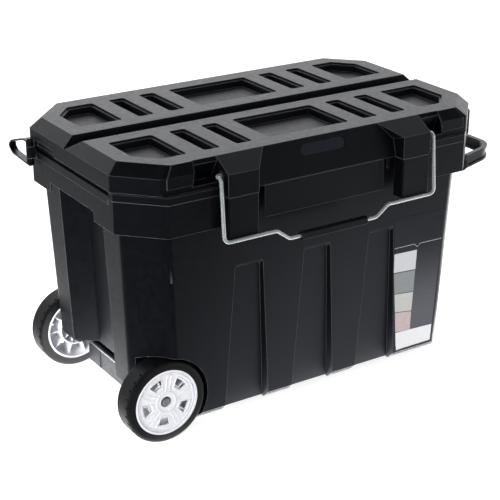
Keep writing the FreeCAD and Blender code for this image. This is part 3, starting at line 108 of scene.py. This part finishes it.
def mixColour(tree, share, a, b):
    node = addNode(tree, "ShaderNodeMix", data_type="RGBA")
    for name, value in (("Factor_Float", share), ("A_Color", a), ("B_Color", b)):
        socket = next(s for s in node.inputs if s.identifier == name)
        feed(tree, socket, hexColour(value) if isinstance(value, str) else value)
    return next(s for s in node.outputs if s.identifier == "Result_Color")


def bump(tree, height, depth, strength=1.0, under=None):
    # depth is in millimetres, and under is the normal that this one lies on
    inputs = {"Height": height, "Distance": depth * mm, "Strength": strength}
    if under is not None:
        inputs["Normal"] = under
    return addNode(tree, "ShaderNodeBump", inputs).outputs["Normal"]


def roundedEdges(tree, radius):
    # a normal rounded at the edges, and where those edges are
    leanNone, leanFull = 0.985, 0.8  # cosine of the rounded normal's lean, off the edge and on it
    soft = addNode(tree, "ShaderNodeBevel", {"Radius": radius * mm}, samples=4).outputs["Normal"]
    flat = addNode(tree, "ShaderNodeNewGeometry").outputs["True Normal"]
    lean = addNode(tree, "ShaderNodeVectorMath", {0: soft, 1: flat}, operation="DOT_PRODUCT")
    return soft, mapRange(tree, lean.outputs["Value"], leanNone, leanFull)


def setRoughness(tree, shader, pattern, look):
    low, high = look["roughness"]
    tree.links.new(mapRange(tree, pattern, noiseLow, noiseHigh, low, high), shader.inputs["Roughness"])


def dress(material, *names):
    for name in names:
        slots = nodes[name].data.materials
        slots.clear()
        slots.append(material)


# moulded plastics

# injection-moulded polypropylene: a satin black with a cool shine and painted highlights along its edges
boxPlastic = {
    "ior": 1.49,
    "colour": "#050608",
    "mottle": "#090a0d",
    "mottleWidth": 12.0,
    "mottleSpread": (0.35, 0.68),
    # edge and edgeShare: a painted highlight along the edges, paler than the body and broken up by the grain
    "edge": "#8b8d92",
    "edgeShare": 0.8,
    "edgeRadius": 1.5,
    "highlightLowShare": 0.6,  # share of the painted edge highlight that is left where the grain is low
    "sheen": "#dde2f2",
    "roughness": (0.36, 0.46),
    "grainWidth": 3.3,  # the real grain is about 1 mm, too fine to show, so it is drawn coarser
    "grainDepth": 0.26,
    "levelFrom": 0.93,  # upward normal where the non-slip grain of the level faces begins
    "levelFull": 0.99,
    "uprightGrain": 0.12,
    "skinWidth": 0.9,  # a sparked mould's skin is finer still, drawn as coarse as it needs to show
    "skinDepth": 0.02,
}


def mouldedPlastic(name, look):
    material, tree, shader = newMaterial(name, IOR=look["ior"], Specular_Tint=hexColour(look["sheen"]))
    mottle = noise(tree, look["mottleWidth"], detail=4.0)
    grain = noise(tree, look["grainWidth"])
    skin = noise(tree, look["skinWidth"])
    soft, edge = roundedEdges(tree, look["edgeRadius"])
    body = mixColour(tree, mapRange(tree, mottle, *look["mottleSpread"]), look["colour"], look["mottle"])
    # painted highlight: the edges are mixed towards the pale edge colour
    share = look["edgeShare"]
    highlightBreakup = mapRange(tree, grain, noiseLow, noiseHigh, look["highlightLowShare"] * share, share)
    edgeHighlight = maths(tree, "MULTIPLY", edge, highlightBreakup)
    tree.links.new(mixColour(tree, edgeHighlight, body, look["edge"]), shader.inputs["Base Color"])
    setRoughness(tree, shader, mottle, look)
    upward = axisPart(tree, addNode(tree, "ShaderNodeNewGeometry").outputs["True Normal"], "Z")
    level = mapRange(tree, upward, look["levelFrom"], look["levelFull"], look["uprightGrain"], 1.0)
    fine = bump(tree, skin, look["skinDepth"], under=soft)
    tree.links.new(bump(tree, grain, look["grainDepth"], level, under=fine), shader.inputs["Normal"])
    return material


polypropylene = mouldedPlastic("moulded_polypropylene", boxPlastic)
dress(polypropylene, "tub_shell", "lid_shell", "bail_bushes", "axle_saddles", "axle_spacers")

# glass-filled nylon: stiff handles, smoother and a little shinier than the box
handleNylon = {
    **boxPlastic,
    "ior": 1.53,
    "colour": "#050608",
    "mottle": "#090a0d",
    "roughness": (0.3, 0.38),
    "grainWidth": 1.4,
    "grainDepth": 0.04,
    "edgeRadius": 0.8,
}
nylon = mouldedPlastic("glass_filled_nylon", handleNylon)
dress(nylon, "tow_handle", "swing_loop_left", "swing_loop_right")

# polished styrene: a smooth plate with a clear gloss, faintly blue against the box
badgeGloss = {
    **boxPlastic,
    "ior": 1.57,
    "colour": "#101119",
    "mottle": "#15161f",
    "roughness": (0.22, 0.28),
    "grainWidth": 2.0,
    "grainDepth": 0.01,
    "skinDepth": 0.004,
    "edgeRadius": 0.8,
}
dress(mouldedPlastic("glossy_styrene", badgeGloss), "badge_plate")

# soft polypropylene: dull sleeves whose fine grain breaks the highlights up
gripSleeve = {
    **boxPlastic,
    "colour": "#050607",
    "mottle": "#090a0c",
    "roughness": (0.42, 0.52),
    "grainWidth": 1.2,
    "grainDepth": 0.05,
    "edgeRadius": 0.6,
}
sleeve = mouldedPlastic("soft_polypropylene", gripSleeve)
dress(sleeve, "bail_grip_front", "bail_grip_back")

# white polypropylene: a bright satin rim whose spokes are read by their shadows
rimPlastic = {
    **boxPlastic,
    "colour": "#e6e6ea",
    "mottle": "#d8d9df",
    "mottleWidth": 16.0,
    # painted highlight along the rim's edges, paler than its body
    "edge": "#f4f4f6",
    "edgeShare": 0.5,
    "edgeRadius": 0.7,
    "roughness": (0.34, 0.44),
    "grainWidth": 5.0,
    "grainDepth": 0.05,
}
whiteRim = mouldedPlastic("white_polypropylene", rimPlastic)
dress(whiteRim, "wheel_rim_front", "wheel_rim_back")
print("plastics ready")


# rubber, metal and film

# moulded rubber: black with a broken, dull shine and grey dust on its edges
tyreRubber = {
    "ior": 1.52,
    "colour": "#090a0d",
    "dust": "#17181c",
    "dustWidth": 14.0,
    "dustSpread": (0.5, 0.75),
    "dustShare": 0.5,
    "roughness": (0.45, 0.62),
    "speckWidth": 1.6,
    "speckDepth": 0.06,
    "edgeRadius": 0.8,
}


def rubber(look):
    material, tree, shader = newMaterial("tyre_rubber", IOR=look["ior"])
    speck = noise(tree, look["speckWidth"], detail=3.0)
    cloud = noise(tree, look["dustWidth"], detail=4.0)
    soft, edge = roundedEdges(tree, look["edgeRadius"])
    patches = mapRange(tree, cloud, *look["dustSpread"], 0.0, look["dustShare"])
    dusty = maths(tree, "MAXIMUM", patches, maths(tree, "MULTIPLY", edge, look["dustShare"]))
    tree.links.new(mixColour(tree, dusty, look["colour"], look["dust"]), shader.inputs["Base Color"])
    setRoughness(tree, shader, speck, look)
    tree.links.new(bump(tree, speck, look["speckDepth"], under=soft), shader.inputs["Normal"])
    return material


tyreMaterial = rubber(tyreRubber)
dress(tyreMaterial, "wheel_tyre_front", "wheel_tyre_back")

# plain zinc plating: a cloudy grey metal
dullZinc = {
    "metal": 1.0,
    "colour": "#aab1b4",
    "stain": "#7d8386",
    "stainSpread": (0.4, 0.7),
    "roughness": (0.26, 0.42),
    "spangleWidth": 3.0,
    "drawWidth": 0.4,  # marks of the drawing die, along the length
    "drawStretch": (0.12, 1, 1),
    "drawDepth": 0.004,
    "drawStrength": 0.7,
}
# zinc-plated drawn wire: a pale, clean line, partly a painted reflection, so its marks are wide and hardly
# seen
wireZincPaintedShine = {
    **dullZinc,
    # a near-white diffuse share under the metal: painted reflection that brightens the wire
    "metal": 0.77,
    "colour": "#f4fafc",
    "stain": "#dfe8ec",
    "roughness": (0.22, 0.28),
    "spangleWidth": 30.0,
    "drawWidth": 9.0,
}
# stained zinc: rougher and blotched, so the push nuts look older than the axle
stainedZinc = {
    **dullZinc,
    "metal": 0.85,
    "colour": "#b9bfc2",
    "stain": "#74797c",
    "roughness": (0.4, 0.55),
    "spangleWidth": 2.5,
}
# black zinc: a dark metal that shows only by its glints
blackZinc = {
    **dullZinc,
    "colour": "#3a3d41",
    "stain": "#222427",
    "roughness": (0.3, 0.45),
    "spangleWidth": 2.5,
}


def platedSteel(name, look):
    material, tree, shader = newMaterial(name, Metallic=look["metal"])
    spangle = noise(tree, look["spangleWidth"], detail=3.0)
    drawn = noise(tree, look["drawWidth"], stretch=look["drawStretch"])
    share = mapRange(tree, spangle, *look["stainSpread"])
    tree.links.new(mixColour(tree, share, look["colour"], look["stain"]), shader.inputs["Base Color"])
    setRoughness(tree, shader, spangle, look)
    tree.links.new(bump(tree, drawn, look["drawDepth"], look["drawStrength"]), shader.inputs["Normal"])
    return material


dress(platedSteel("bright_zinc_wire", wireZincPaintedShine), "bail_wire")
dress(platedSteel("zinc_plated_steel", dullZinc), "axle", "hinge_rod", "hinge_rod_caps", "saddle_screws")
dress(platedSteel("stained_zinc_steel", stainedZinc), "push_nuts")
darkSteel = platedSteel("black_zinc_steel", blackZinc)
dress(darkSteel, "axle_washers", "tow_handle_pins", "swing_loop_left_pin", "swing_loop_right_pin")

# printed vinyl: smoother than the wall behind it, black above and greyer below, with slow ripples
labelFilm = {
    "ior": 1.53,
    "sheen": "#dde2f2",
    "head": "#040507",
    "foot": "#55565b",
    "fadeFrom": 300.0,  # heights over the tub's underside
    "fadeTo": 90.0,
    "roughness": (0.24, 0.34),
    "rippleWidth": 34.0,
    "rippleDepth": 0.12,
    "rippleStrength": 0.5,
    "speck": "#8d9094",
    "speckWidth": 0.7,  # the print's own dots are too fine to show, these are as coarse as they need be
    "speckSpread": (0.2, 0.8),
    "speckShare": 0.16,
}


def printedFilm(name, look, colour=None):
    material, tree, shader = newMaterial(name, IOR=look["ior"], Specular_Tint=hexColour(look["sheen"]))
    ripple = noise(tree, look["rippleWidth"], detail=1.0)
    if colour is None:
        high, low = (look["fadeFrom"] + lift) * mm, (look["fadeTo"] + lift) * mm
        fade = mapRange(tree, axisPart(tree, objectPlace(tree), "Z"), high, low, smooth=True)
        shade = mixColour(tree, fade, look["head"], look["foot"])
    else:
        speck = noise(tree, look["speckWidth"], detail=1.0)
        dots = mapRange(tree, speck, *look["speckSpread"], 0.0, look["speckShare"])
        shade = mixColour(tree, dots, colour, look["speck"])
    tree.links.new(shade, shader.inputs["Base Color"])
    setRoughness(tree, shader, ripple, look)
    tree.links.new(bump(tree, ripple, look["rippleDepth"], look["rippleStrength"]), shader.inputs["Normal"])
    return material


dress(printedFilm("vinyl_film", labelFilm), "front_label")
print("rubber, metal and film ready")


# pieces built here

def newObject(name, mesh, body, slotName, *materials):
    piece = bpy.data.objects.new(name, mesh)
    bpy.context.scene.collection.objects.link(piece)
    mesh.materials.clear()
    for material in materials:
        mesh.materials.append(material)
    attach(piece, body)
    return piece


def plainMesh(holder):
    # the finished shape of a curve or a nodes object, as a mesh of its own
    bpy.context.scene.collection.objects.link(holder)
    bpy.context.view_layer.update()
    graph = bpy.context.evaluated_depsgraph_get()
    ready = holder.evaluated_get(graph)
    mesh = bpy.data.meshes.new_from_object(ready, preserve_all_data_layers=True, depsgraph=graph)
    bpy.data.objects.remove(holder)
    return mesh


# places on the print are across the box and over the tub's underside
filmPrint = {
    "film": 0.4,  # the label's own thickness, under the print
    "thickness": 0.12,
    "line": [(210.6, 282.8), (266.5, 282.0), (275.9, 273.7), (284.1, 280.6), (345.0, 279.0)],
    "lineWidth": 1.1,
    "lineColour": "#b9bcc0",
    "panels": [
        ("#cfd1d3", [(213.1, 223.4), (274.6, 218.8), (275.7, 266.3), (211.6, 269.0)]),
        ("#8a8d8f", [(218.5, 170.4), (273.2, 164.5), (274.2, 216.4), (213.5, 221.2)]),
        ("#c6c6c2", [(223.4, 123.1), (271.2, 116.0), (272.8, 162.4), (218.9, 168.4)]),
        ("#c9b7b6", [(228.2, 71.3), (270.6, 67.8), (271.0, 114.0), (223.8, 121.2)]),
    ],
    "block": [(232.9, 24.6), (333.2, 24.6), (334.9, 64.7), (229.0, 69.3)],
    "blockColour": "#f6f6f8",
    "curl": 2.2,  # the block's first corner has lifted
    "curlReach": 16.0,
    "curlSteps": 10,
}
labelLow, labelHigh = [Vector(corner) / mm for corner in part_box("front_label")]


def wallY(z):
    # the tub's leaning front, from the foot and the head of the label stuck to it
    share = (z + lift - labelLow.z) / (labelHigh.z - labelLow.z)
    return labelHigh.y + share * (labelLow.y + filmPrint["film"] - labelHigh.y)


def sheetMesh(name, corners, look, steps=1, curl=0.0):
    mesh = bpy.data.meshes.new(name)
    work = bmesh.new()
    a, b, c, d = [Vector(p) for p in corners]
    grid = []
    for i in range(steps + 1):
        row = []
        for j in range(steps + 1):
            u, v = j / steps, i / steps
            x, z = (a * (1 - u) + b * u) * (1 - v) + (d * (1 - u) + c * u) * v
            near = max(0.0, 1 - (Vector((x, z)) - a).length / look["curlReach"])
            y = wallY(z) - look["film"] - look["thickness"] - curl * near * near
            row.append(work.verts.new((x * mm, y * mm, (z + lift) * mm)))
        grid.append(row)
    for i in range(steps):
        for j in range(steps):
            work.faces.new((grid[i][j], grid[i][j + 1], grid[i + 1][j + 1], grid[i + 1][j]))
    edge = bmesh.ops.extrude_face_region(work, geom=work.faces[:])
    back = [v for v in edge["geom"] if isinstance(v, bmesh.types.BMVert)]
    bmesh.ops.translate(work, verts=back, vec=(0, look["thickness"] * mm, 0))
    bmesh.ops.recalc_face_normals(work, faces=work.faces[:])
    work.to_mesh(mesh)
    work.free()
    return mesh


def joinedMesh(name, parts):
    work = bmesh.new()
    for part in parts:
        work.from_mesh(part)
        bpy.data.meshes.remove(part)
    mesh = bpy.data.meshes.new(name)
    work.to_mesh(mesh)
    work.free()
    return mesh


def strokeMesh(name, look):
    parts = []
    points = [Vector(p) for p in look["line"]]
    for start, end in zip(points, points[1:]):
        along = (end - start).normalized()
        side = Vector((-along.y, along.x)) * look["lineWidth"] / 2
        parts.append(sheetMesh(name, [start - side, end - side, end + side, start + side], look))
    return joinedMesh(name, parts)


def makeLabelPrint(look):
    # screen-printed inks and a paper sticker: flat, faintly speckled colours with the film's ripples
    ink = printedFilm("white_ink", labelFilm, look["lineColour"])
    newObject("label_line", strokeMesh("label_line", look), "tub", "label_film", ink)
    for i, (colour, corners) in enumerate(look["panels"]):
        ink = printedFilm("panel_ink_" + str(i), labelFilm, colour)
        newObject("label_panel_" + str(i), sheetMesh("label_panel", corners, look), "tub", "label_film", ink)
    paper = printedFilm("white_sticker", labelFilm, look["blockColour"])
    block = sheetMesh("label_block", look["block"], look, look["curlSteps"], look["curl"])
    newObject("label_block", block, "tub", "label_film", paper)


makeLabelPrint(filmPrint)
print("label print ready")


# repeated details, as geometry nodes turned into plain meshes

def geometryTree(name, **inputs):
    # a node group with these named inputs
    tree = bpy.data.node_groups.new(name, "GeometryNodeTree")
    kinds = {int: "NodeSocketInt", float: "NodeSocketFloat", Vector: "NodeSocketVector"}
    for key, value in inputs.items():
        kind = "NodeSocketMaterial" if isinstance(value, bpy.types.Material) else kinds[type(value)]
        socket = tree.interface.new_socket(key, in_out="INPUT", socket_type=kind)
        socket.default_value = value
    tree.interface.new_socket("Geometry", in_out="OUTPUT", socket_type="NodeSocketGeometry")
    return tree, tree.nodes.new("NodeGroupInput").outputs


def bakedMesh(tree, last, given):
    real = addNode(tree, "GeometryNodeRealizeInstances", {0: last}).outputs[0]
    painted = addNode(tree, "GeometryNodeSetMaterial", {"Geometry": real, "Material": given["Material"]})
    addNode(tree, "NodeGroupOutput", {0: painted.outputs[0]})
    holder = bpy.data.objects.new("holder", bpy.data.meshes.new("holder"))
    holder.modifiers.new("nodes", "NODES").node_group = tree
    return plainMesh(holder)


# raised ticks on both sides of the channel along the lid
ruler = {
    "pitch": 10.0,
    "count": 83,
    "long": 5,  # every fifth tick is a long one
    "longShare": 1.75,
    "size": (1.1, 8.0, 0.9),
    "stand": 0.25,
    "frontEdge": -27.0,
    "backEdge": 24.0,
}


def rulerTree(name, look, y, away, material):
    # the ticks start at y and run away from the channel
    count, pitch = look["count"], look["pitch"] * mm
    length, height = look["size"][1:]
    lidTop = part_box("lid_shell")[1][2]
    tree, given = geometryTree(
        name,
        Count=count,
        Every=look["long"],
        Start=Vector((-pitch * (count - 1) / 2, y * mm, lidTop)),
        Step=Vector((pitch, 0, 0)),
        Size=Vector(look["size"]) * mm,
        Shift=Vector((0, away * length / 2, look["stand"] - height / 2)) * mm,
        Stretch=look["longShare"],
        Material=material,
    )
    points = addNode(tree, "GeometryNodeMeshLine", {
        "Count": given["Count"],
        "Start Location": given["Start"],
        "Offset": given["Step"],
    }).outputs["Mesh"]
    cube = addNode(tree, "GeometryNodeMeshCube", {"Size": given["Size"]}).outputs["Mesh"]
    tick = addNode(tree, "GeometryNodeTransform", {"Geometry": cube, "Translation": given["Shift"]})
    turn = maths(tree, "MODULO", addNode(tree, "GeometryNodeInputIndex").outputs[0], given["Every"])
    middleTurn, tolerance = (count // 2) % look["long"], 0.1
    isLong = maths(tree, "COMPARE", turn, middleTurn, tolerance)
    stretch = mapRange(tree, isLong, 0.0, 1.0, 1.0, given["Stretch"])
    scale = addNode(tree, "ShaderNodeCombineXYZ", {0: 1.0, 1: stretch, 2: 1.0}).outputs[0]
    placed = addNode(tree, "GeometryNodeInstanceOnPoints", {
        "Points": points,
        "Instance": tick.outputs[0],
        "Scale": scale,
    }).outputs[0]
    return bakedMesh(tree, placed, given)


# grey polypropylene: the ticks stand proud and are a shade greyer than the lid
greyTickPlastic = {**boxPlastic, "colour": "#3c3d42", "mottle": "#4a4b50"}
greyTicks = mouldedPlastic("grey_tick_polypropylene", greyTickPlastic)
ticks = rulerTree("ruler_front", ruler, ruler["frontEdge"], -1, greyTicks)
newObject("ruler_ticks_front", ticks, "lid", "box_plastic", greyTicks)
ticks = rulerTree("ruler_back", ruler, ruler["backEdge"], 1, greyTicks)
newObject("ruler_ticks_back", ticks, "lid", "box_plastic", greyTicks)

# radii and angles round the wheel's own middle; a bead is the radius of a raised round edge
wheel = {
    "ribs": {"count": 96, "radius": 78.8, "size": (8.6, 1.3, 1.2)},
    "beadInset": 3.8,  # the beads' middle lies this far inside the tyre's outer side
    "rings": [(22.5, 1.5), (64.5, 1.6)],
    "ringPoints": 90,
    "windows": {"count": 5, "inner": 32.5, "outer": 57.5, "halfAngle": 20.5, "start": 45.0, "bead": 1.5},
    "arcSteps": 6,
    "lobes": {
        "tip": [(56.0, -5), (60.5, -3), (62.0, 0), (60.5, 3), (56.0, 5)],
        "root": [(21.0, 12), (21.0, -12)],
        "bead": 1.3,
    },
}


def hubPlace(side, inset=0.0):
    # the wheel's middle, this far inside the tyre's outer side
    low, high = [Vector(corner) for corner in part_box("wheel_tyre_front")]
    middle = (low + high) / 2
    return Vector((middle.x, side * (-low.y - inset * mm), middle.z))


def ringTree(name, spec, side, material):
    tree, given = geometryTree(
        name,
        Count=spec["count"],
        Radius=spec["radius"] * mm,
        Size=Vector(spec["size"]) * mm,
        Centre=hubPlace(side),
        Material=material,
    )
    circle = addNode(tree, "GeometryNodeMeshCircle", {"Vertices": given["Count"], "Radius": given["Radius"]})
    rib = addNode(tree, "GeometryNodeMeshCube", {"Size": given["Size"]}).outputs["Mesh"]
    place = addNode(tree, "GeometryNodeInputPosition").outputs[0]
    turn = addNode(tree, "FunctionNodeAlignRotationToVector", {"Vector": place}, axis="X").outputs[0]
    placed = addNode(tree, "GeometryNodeInstanceOnPoints", {
        "Points": circle.outputs["Mesh"],
        "Instance": rib,
        "Rotation": turn,
    }).outputs[0]
    stand = addNode(tree, "GeometryNodeTransform", {
        "Geometry": placed,
        "Translation": given["Centre"],
        "Rotation": (pi / 2, 0, 0),
    }).outputs[0]
    return bakedMesh(tree, stand, given)


beadFacets = 2  # how finely a quarter of a bead's round is cut


def loopMesh(name, points, radius):
    # a round bead along a closed loop
    curve = bpy.data.curves.new(name, "CURVE")
    curve.dimensions = "3D"
    curve.bevel_depth = radius * mm
    curve.bevel_resolution = beadFacets
    spline = curve.splines.new("POLY")
    spline.points.add(len(points) - 1)
    for point, place in zip(spline.points, points):
        point.co = (*place, 1)
    spline.use_cyclic_u = True
    return plainMesh(bpy.data.objects.new(name, curve))


def polar(radius, angle):
    return radius * cos(radians(angle)), radius * sin(radians(angle))


def arc(radius, middle, spread, steps):
    return [polar(radius, middle + spread * k / steps) for k in range(-steps, steps + 1)]


def wheelLoops(look):
    window, lobe, steps = look["windows"], look["lobes"], look["arcSteps"]
    loops = []
    for radius, bead in look["rings"]:
        around = range(look["ringPoints"])
        loops.append(([polar(radius, 360 * i / len(around)) for i in around], bead))
    for i in range(window["count"]):
        # the windows are counted clockwise from the top
        middle = 90 - window["start"] - i * 360 / window["count"]
        # an arc's end points are left out, which cuts the corners off
        outer = arc(window["outer"], middle, window["halfAngle"], steps)[1:-1]
        inner = arc(window["inner"], middle, -window["halfAngle"], steps)[2:-2]
        loops.append((outer + inner, window["bead"]))
        gap = middle + 180 / window["count"]
        outline = [polar(radius, gap + turn) for radius, turn in lobe["tip"] + lobe["root"]]
        loops.append((outline, lobe["bead"]))
    return loops


def beadMesh(name, look, side):
    middle = hubPlace(side, look["beadInset"])
    parts = []
    for points, radius in wheelLoops(look):
        places = [middle + Vector((x, 0, z)) * mm for x, z in points]
        parts.append(loopMesh(name, places, radius))
    mesh = joinedMesh(name, parts)
    mesh.shade_smooth()
    return mesh


for side, body in ((-1, "wheel_front"), (1, "wheel_back")):
    ribs = ringTree(body + "_ribs", wheel["ribs"], side, tyreMaterial)
    newObject("tyre_ribs_" + body, ribs, body, "tyre_rubber", tyreMaterial)
    beads = beadMesh("rim_beads_" + body, wheel, side)
    newObject("rim_beads_" + body, beads, body, "white_rim_plastic", whiteRim)

badgeRing = {
    "bead": 1.1,
    "plate": 2.0,  # the badge's thickness
    "cornerSteps": 8,
}
# a dull, near-black bead round the glossy badge: its black is a painted shadow of the gap in the recess
badgeGapShade = {
    **badgeGloss,
    "ior": 1.45,
    # near-black colour: painted shadow of the recess gap
    "colour": "#010102",
    "mottle": "#020203",
    "edgeShare": 0.0,
    "roughness": (0.6, 0.7),
}


def makeBadgeRing(look, material):
    # round the recess that the badge sits in, on the sloping apron
    low, high = [Vector(corner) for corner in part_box("badge_plate")]
    radius = (high.z - low.z) / 2
    middle = (low.z + high.z) / 2
    places = []
    for end in (1, -1):
        for i in range(look["cornerSteps"] * 2 + 1):
            angle = radians(-90 + 90 * i / look["cornerSteps"])
            x = end * (high.x - radius + radius * cos(angle))
            z = middle + end * radius * sin(angle)
            share = (z - low.z) / (high.z - low.z)
            places.append(Vector((x, low.y + share * (high.y - low.y - look["plate"] * mm), z)))
    mesh = loopMesh("badge_ring", places, look["bead"])
    mesh.shade_smooth()
    newObject("badge_ring", mesh, "lid", "badge_plastic", material)


makeBadgeRing(badgeRing, mouldedPlastic("badge_gap_shade", badgeGapShade))
print("repeated details ready")


# floor, light and camera

# the floor as the box mirrors it: from and to in metres, then the brightness at each
floorLook = {
    "halfSide": 12.0,
    "low": -0.0006,
    "paint": (0.8, 0.8, 0.8, 1),
    "glow": 0.75,
    "forward": (-1.0, -1.2),  # how x and y count towards the viewer's side
    "far": (0.3, 1.2, 0.95, 0.02),
    "left": (-0.9, 0.0, 0.36, 1.0),
    "right": (0.5, 1.0, 1.0, 0.45),
    "horizon": (1.6, 4.0, 0.0, 0.12),
    "sideX": (0.7, 0.95, 0.0, 1.0),
    "sideY": (-0.75, -0.55, 0.0, 1.5),
    "nearX": (0.42, 0.6, 1.0, 0.0),
    "nearY": (-0.29, -0.21, 0.0, 2.6),
}


def fade(tree, source, span):
    return mapRange(tree, source, *span, smooth=True)


def glossyFloor(tree, look):
    # brightest beneath and behind the box and at its right end, dim before it
    place = addNode(tree, "ShaderNodeSeparateXYZ", {0: objectPlace(tree)}).outputs
    shareX, shareY = look["forward"]
    forwardX = maths(tree, "MULTIPLY", place["X"], shareX)
    forward = maths(tree, "ADD", forwardX, maths(tree, "MULTIPLY", place["Y"], shareY))
    far = fade(tree, forward, look["far"])
    far = maths(tree, "MULTIPLY", far, fade(tree, place["X"], look["left"]))
    far = maths(tree, "MULTIPLY", far, fade(tree, place["X"], look["right"]))
    far = maths(tree, "ADD", far, fade(tree, forward, look["horizon"]))
    sideX, sideY = fade(tree, place["X"], look["sideX"]), fade(tree, place["Y"], look["sideY"])
    far = maths(tree, "ADD", far, maths(tree, "MULTIPLY", sideX, sideY))
    nearX = fade(tree, maths(tree, "ABSOLUTE", place["X"]), look["nearX"])
    nearY = fade(tree, place["Y"], look["nearY"])
    return maths(tree, "ADD", far, maths(tree, "MULTIPLY", nearX, nearY))


def floorMaterial(look):
    # white paint that glows to the camera, so the box stands on plain white
    material = bpy.data.materials.new("studio_floor")
    material.use_nodes = True
    tree = material.node_tree
    tree.nodes.clear()
    rays = addNode(tree, "ShaderNodeLightPath").outputs
    paint = addNode(tree, "ShaderNodeBsdfDiffuse", {"Color": look["paint"]})
    strength = maths(tree, "MULTIPLY", rays["Is Camera Ray"], look["glow"])
    glow = addNode(tree, "ShaderNodeEmission", {"Strength": strength})
    seen = addNode(tree, "ShaderNodeAddShader", {0: paint.outputs[0], 1: glow.outputs[0]}).outputs[0]
    mirrored = addNode(tree, "ShaderNodeEmission", {"Strength": glossyFloor(tree, look)}).outputs[0]
    both = addNode(tree, "ShaderNodeMixShader", {0: rays["Is Glossy Ray"], 1: seen, 2: mirrored})
    addNode(tree, "ShaderNodeOutputMaterial", {"Surface": both.outputs[0]})
    return material


def makeFloor(look):
    mesh = bpy.data.meshes.new("floor")
    side, low = look["halfSide"], look["low"]
    corners = [(-side, -side, low), (side, -side, low), (side, side, low), (-side, side, low)]
    mesh.from_pydata(corners, [], [(0, 1, 2, 3)])
    floor = bpy.data.objects.new("floor", mesh)
    bpy.context.scene.collection.objects.link(floor)
    mesh.materials.append(floorMaterial(look))


skyLook = {
    "ambient": 0.8,
    "camera": 1.0,
    "bright": (0.55, 0.83, 0.0),  # the way to the bright side, at the back right
    "brightness": (0.26, 0.88, 0.02, 1.72),  # from and to along that way, then the brightness at each
    "right": (0.42, 0.64, 1.0, 0.8),
    "band": (0.05, 0.3, 0.34, 0.0),  # glow over the horizon
}


def makeWorld(look):
    # white to the camera and even for soft light; only reflections see the bright side and the band
    world = bpy.data.worlds.new("studio")
    bpy.context.scene.world = world
    world.use_nodes = True
    tree = world.node_tree
    tree.nodes.clear()
    rays = addNode(tree, "ShaderNodeLightPath").outputs
    way = addNode(tree, "ShaderNodeTexCoord").outputs["Generated"]
    toward = addNode(tree, "ShaderNodeVectorMath", {0: way, 1: look["bright"]}, operation="DOT_PRODUCT")
    sky = fade(tree, toward.outputs["Value"], look["brightness"])
    sky = maths(tree, "MULTIPLY", sky, mapRange(tree, axisPart(tree, way, "X"), *look["right"]))
    sky = maths(tree, "ADD", sky, fade(tree, axisPart(tree, way, "Z"), look["band"]))
    glossy = maths(tree, "MAXIMUM", rays["Is Glossy Ray"], rays["Is Transmission Ray"])
    soft = mapRange(tree, rays["Is Camera Ray"], 0.0, 1.0, look["ambient"], look["camera"])
    share = addNode(tree, "ShaderNodeMix", {"Factor": glossy, "A": soft, "B": sky}).outputs[0]
    background = addNode(tree, "ShaderNodeBackground", {"Color": (1, 1, 1, 1), "Strength": share})
    addNode(tree, "ShaderNodeOutputWorld", {"Surface": background.outputs[0]})


# soft boxes: places in metres, and power in watts
lamps = {
    "top_softbox": {
        "place": (0.1, 0.4, 1.9),
        "target": (0, 0, 0.4),
        "size": (1.4, 1.0),
        "power": 6.0,
    },
    "left_softbox": {
        "place": (-1.3, -0.45, 0.3),
        "target": (-0.37, 0.1, 0.1),
        "size": (0.5, 0.4),
        "power": 10.0,
    },
    "front_softbox": {
        "place": (1.3, -1.4, 0.5),
        "target": (0.35, -0.25, 0.2),
        "size": (0.9, 0.7),
        "power": 8.0,
    },
    "wheel_softbox": {
        "place": (-1.0, -0.12, 0.12),
        "target": (-0.37, 0.2, 0.08),
        "size": (0.3, 0.15),
        "power": 7.0,
    },
}


def makeLamp(name, look):
    data = bpy.data.lights.new(name, "AREA")
    data.shape = "RECTANGLE"
    data.size, data.size_y = look["size"]
    data.energy = look["power"]
    lamp = bpy.data.objects.new(name, data)
    lamp.location = look["place"]
    lamp.rotation_mode = "QUATERNION"
    lamp.rotation_quaternion = (Vector(look["target"]) - Vector(look["place"])).to_track_quat("-Z", "Y")
    lamp.visible_glossy = False
    lamp.visible_camera = False
    bpy.context.scene.collection.objects.link(lamp)


productCamera = {
    "place": (-1.56839, -2.41099, 1.46526),
    "look": (0.50036, 0.77583, -0.38438),
    "lens": 98.52,
    "sensor": 36.0,
}


def makeCamera(look):
    data = bpy.data.cameras.new("camera")
    data.lens = look["lens"]
    data.sensor_width = look["sensor"]
    camera = bpy.data.objects.new("camera", data)
    camera.location = look["place"]
    camera.rotation_mode = "QUATERNION"
    camera.rotation_quaternion = Vector(look["look"]).to_track_quat("-Z", "Y")
    bpy.context.scene.collection.objects.link(camera)
    bpy.context.scene.camera = camera


makeFloor(floorLook)
makeWorld(skyLook)
for name, look in lamps.items():
    makeLamp(name, look)
makeCamera(productCamera)
bpy.context.scene.view_settings.view_transform = "Standard"
print("studio ready")
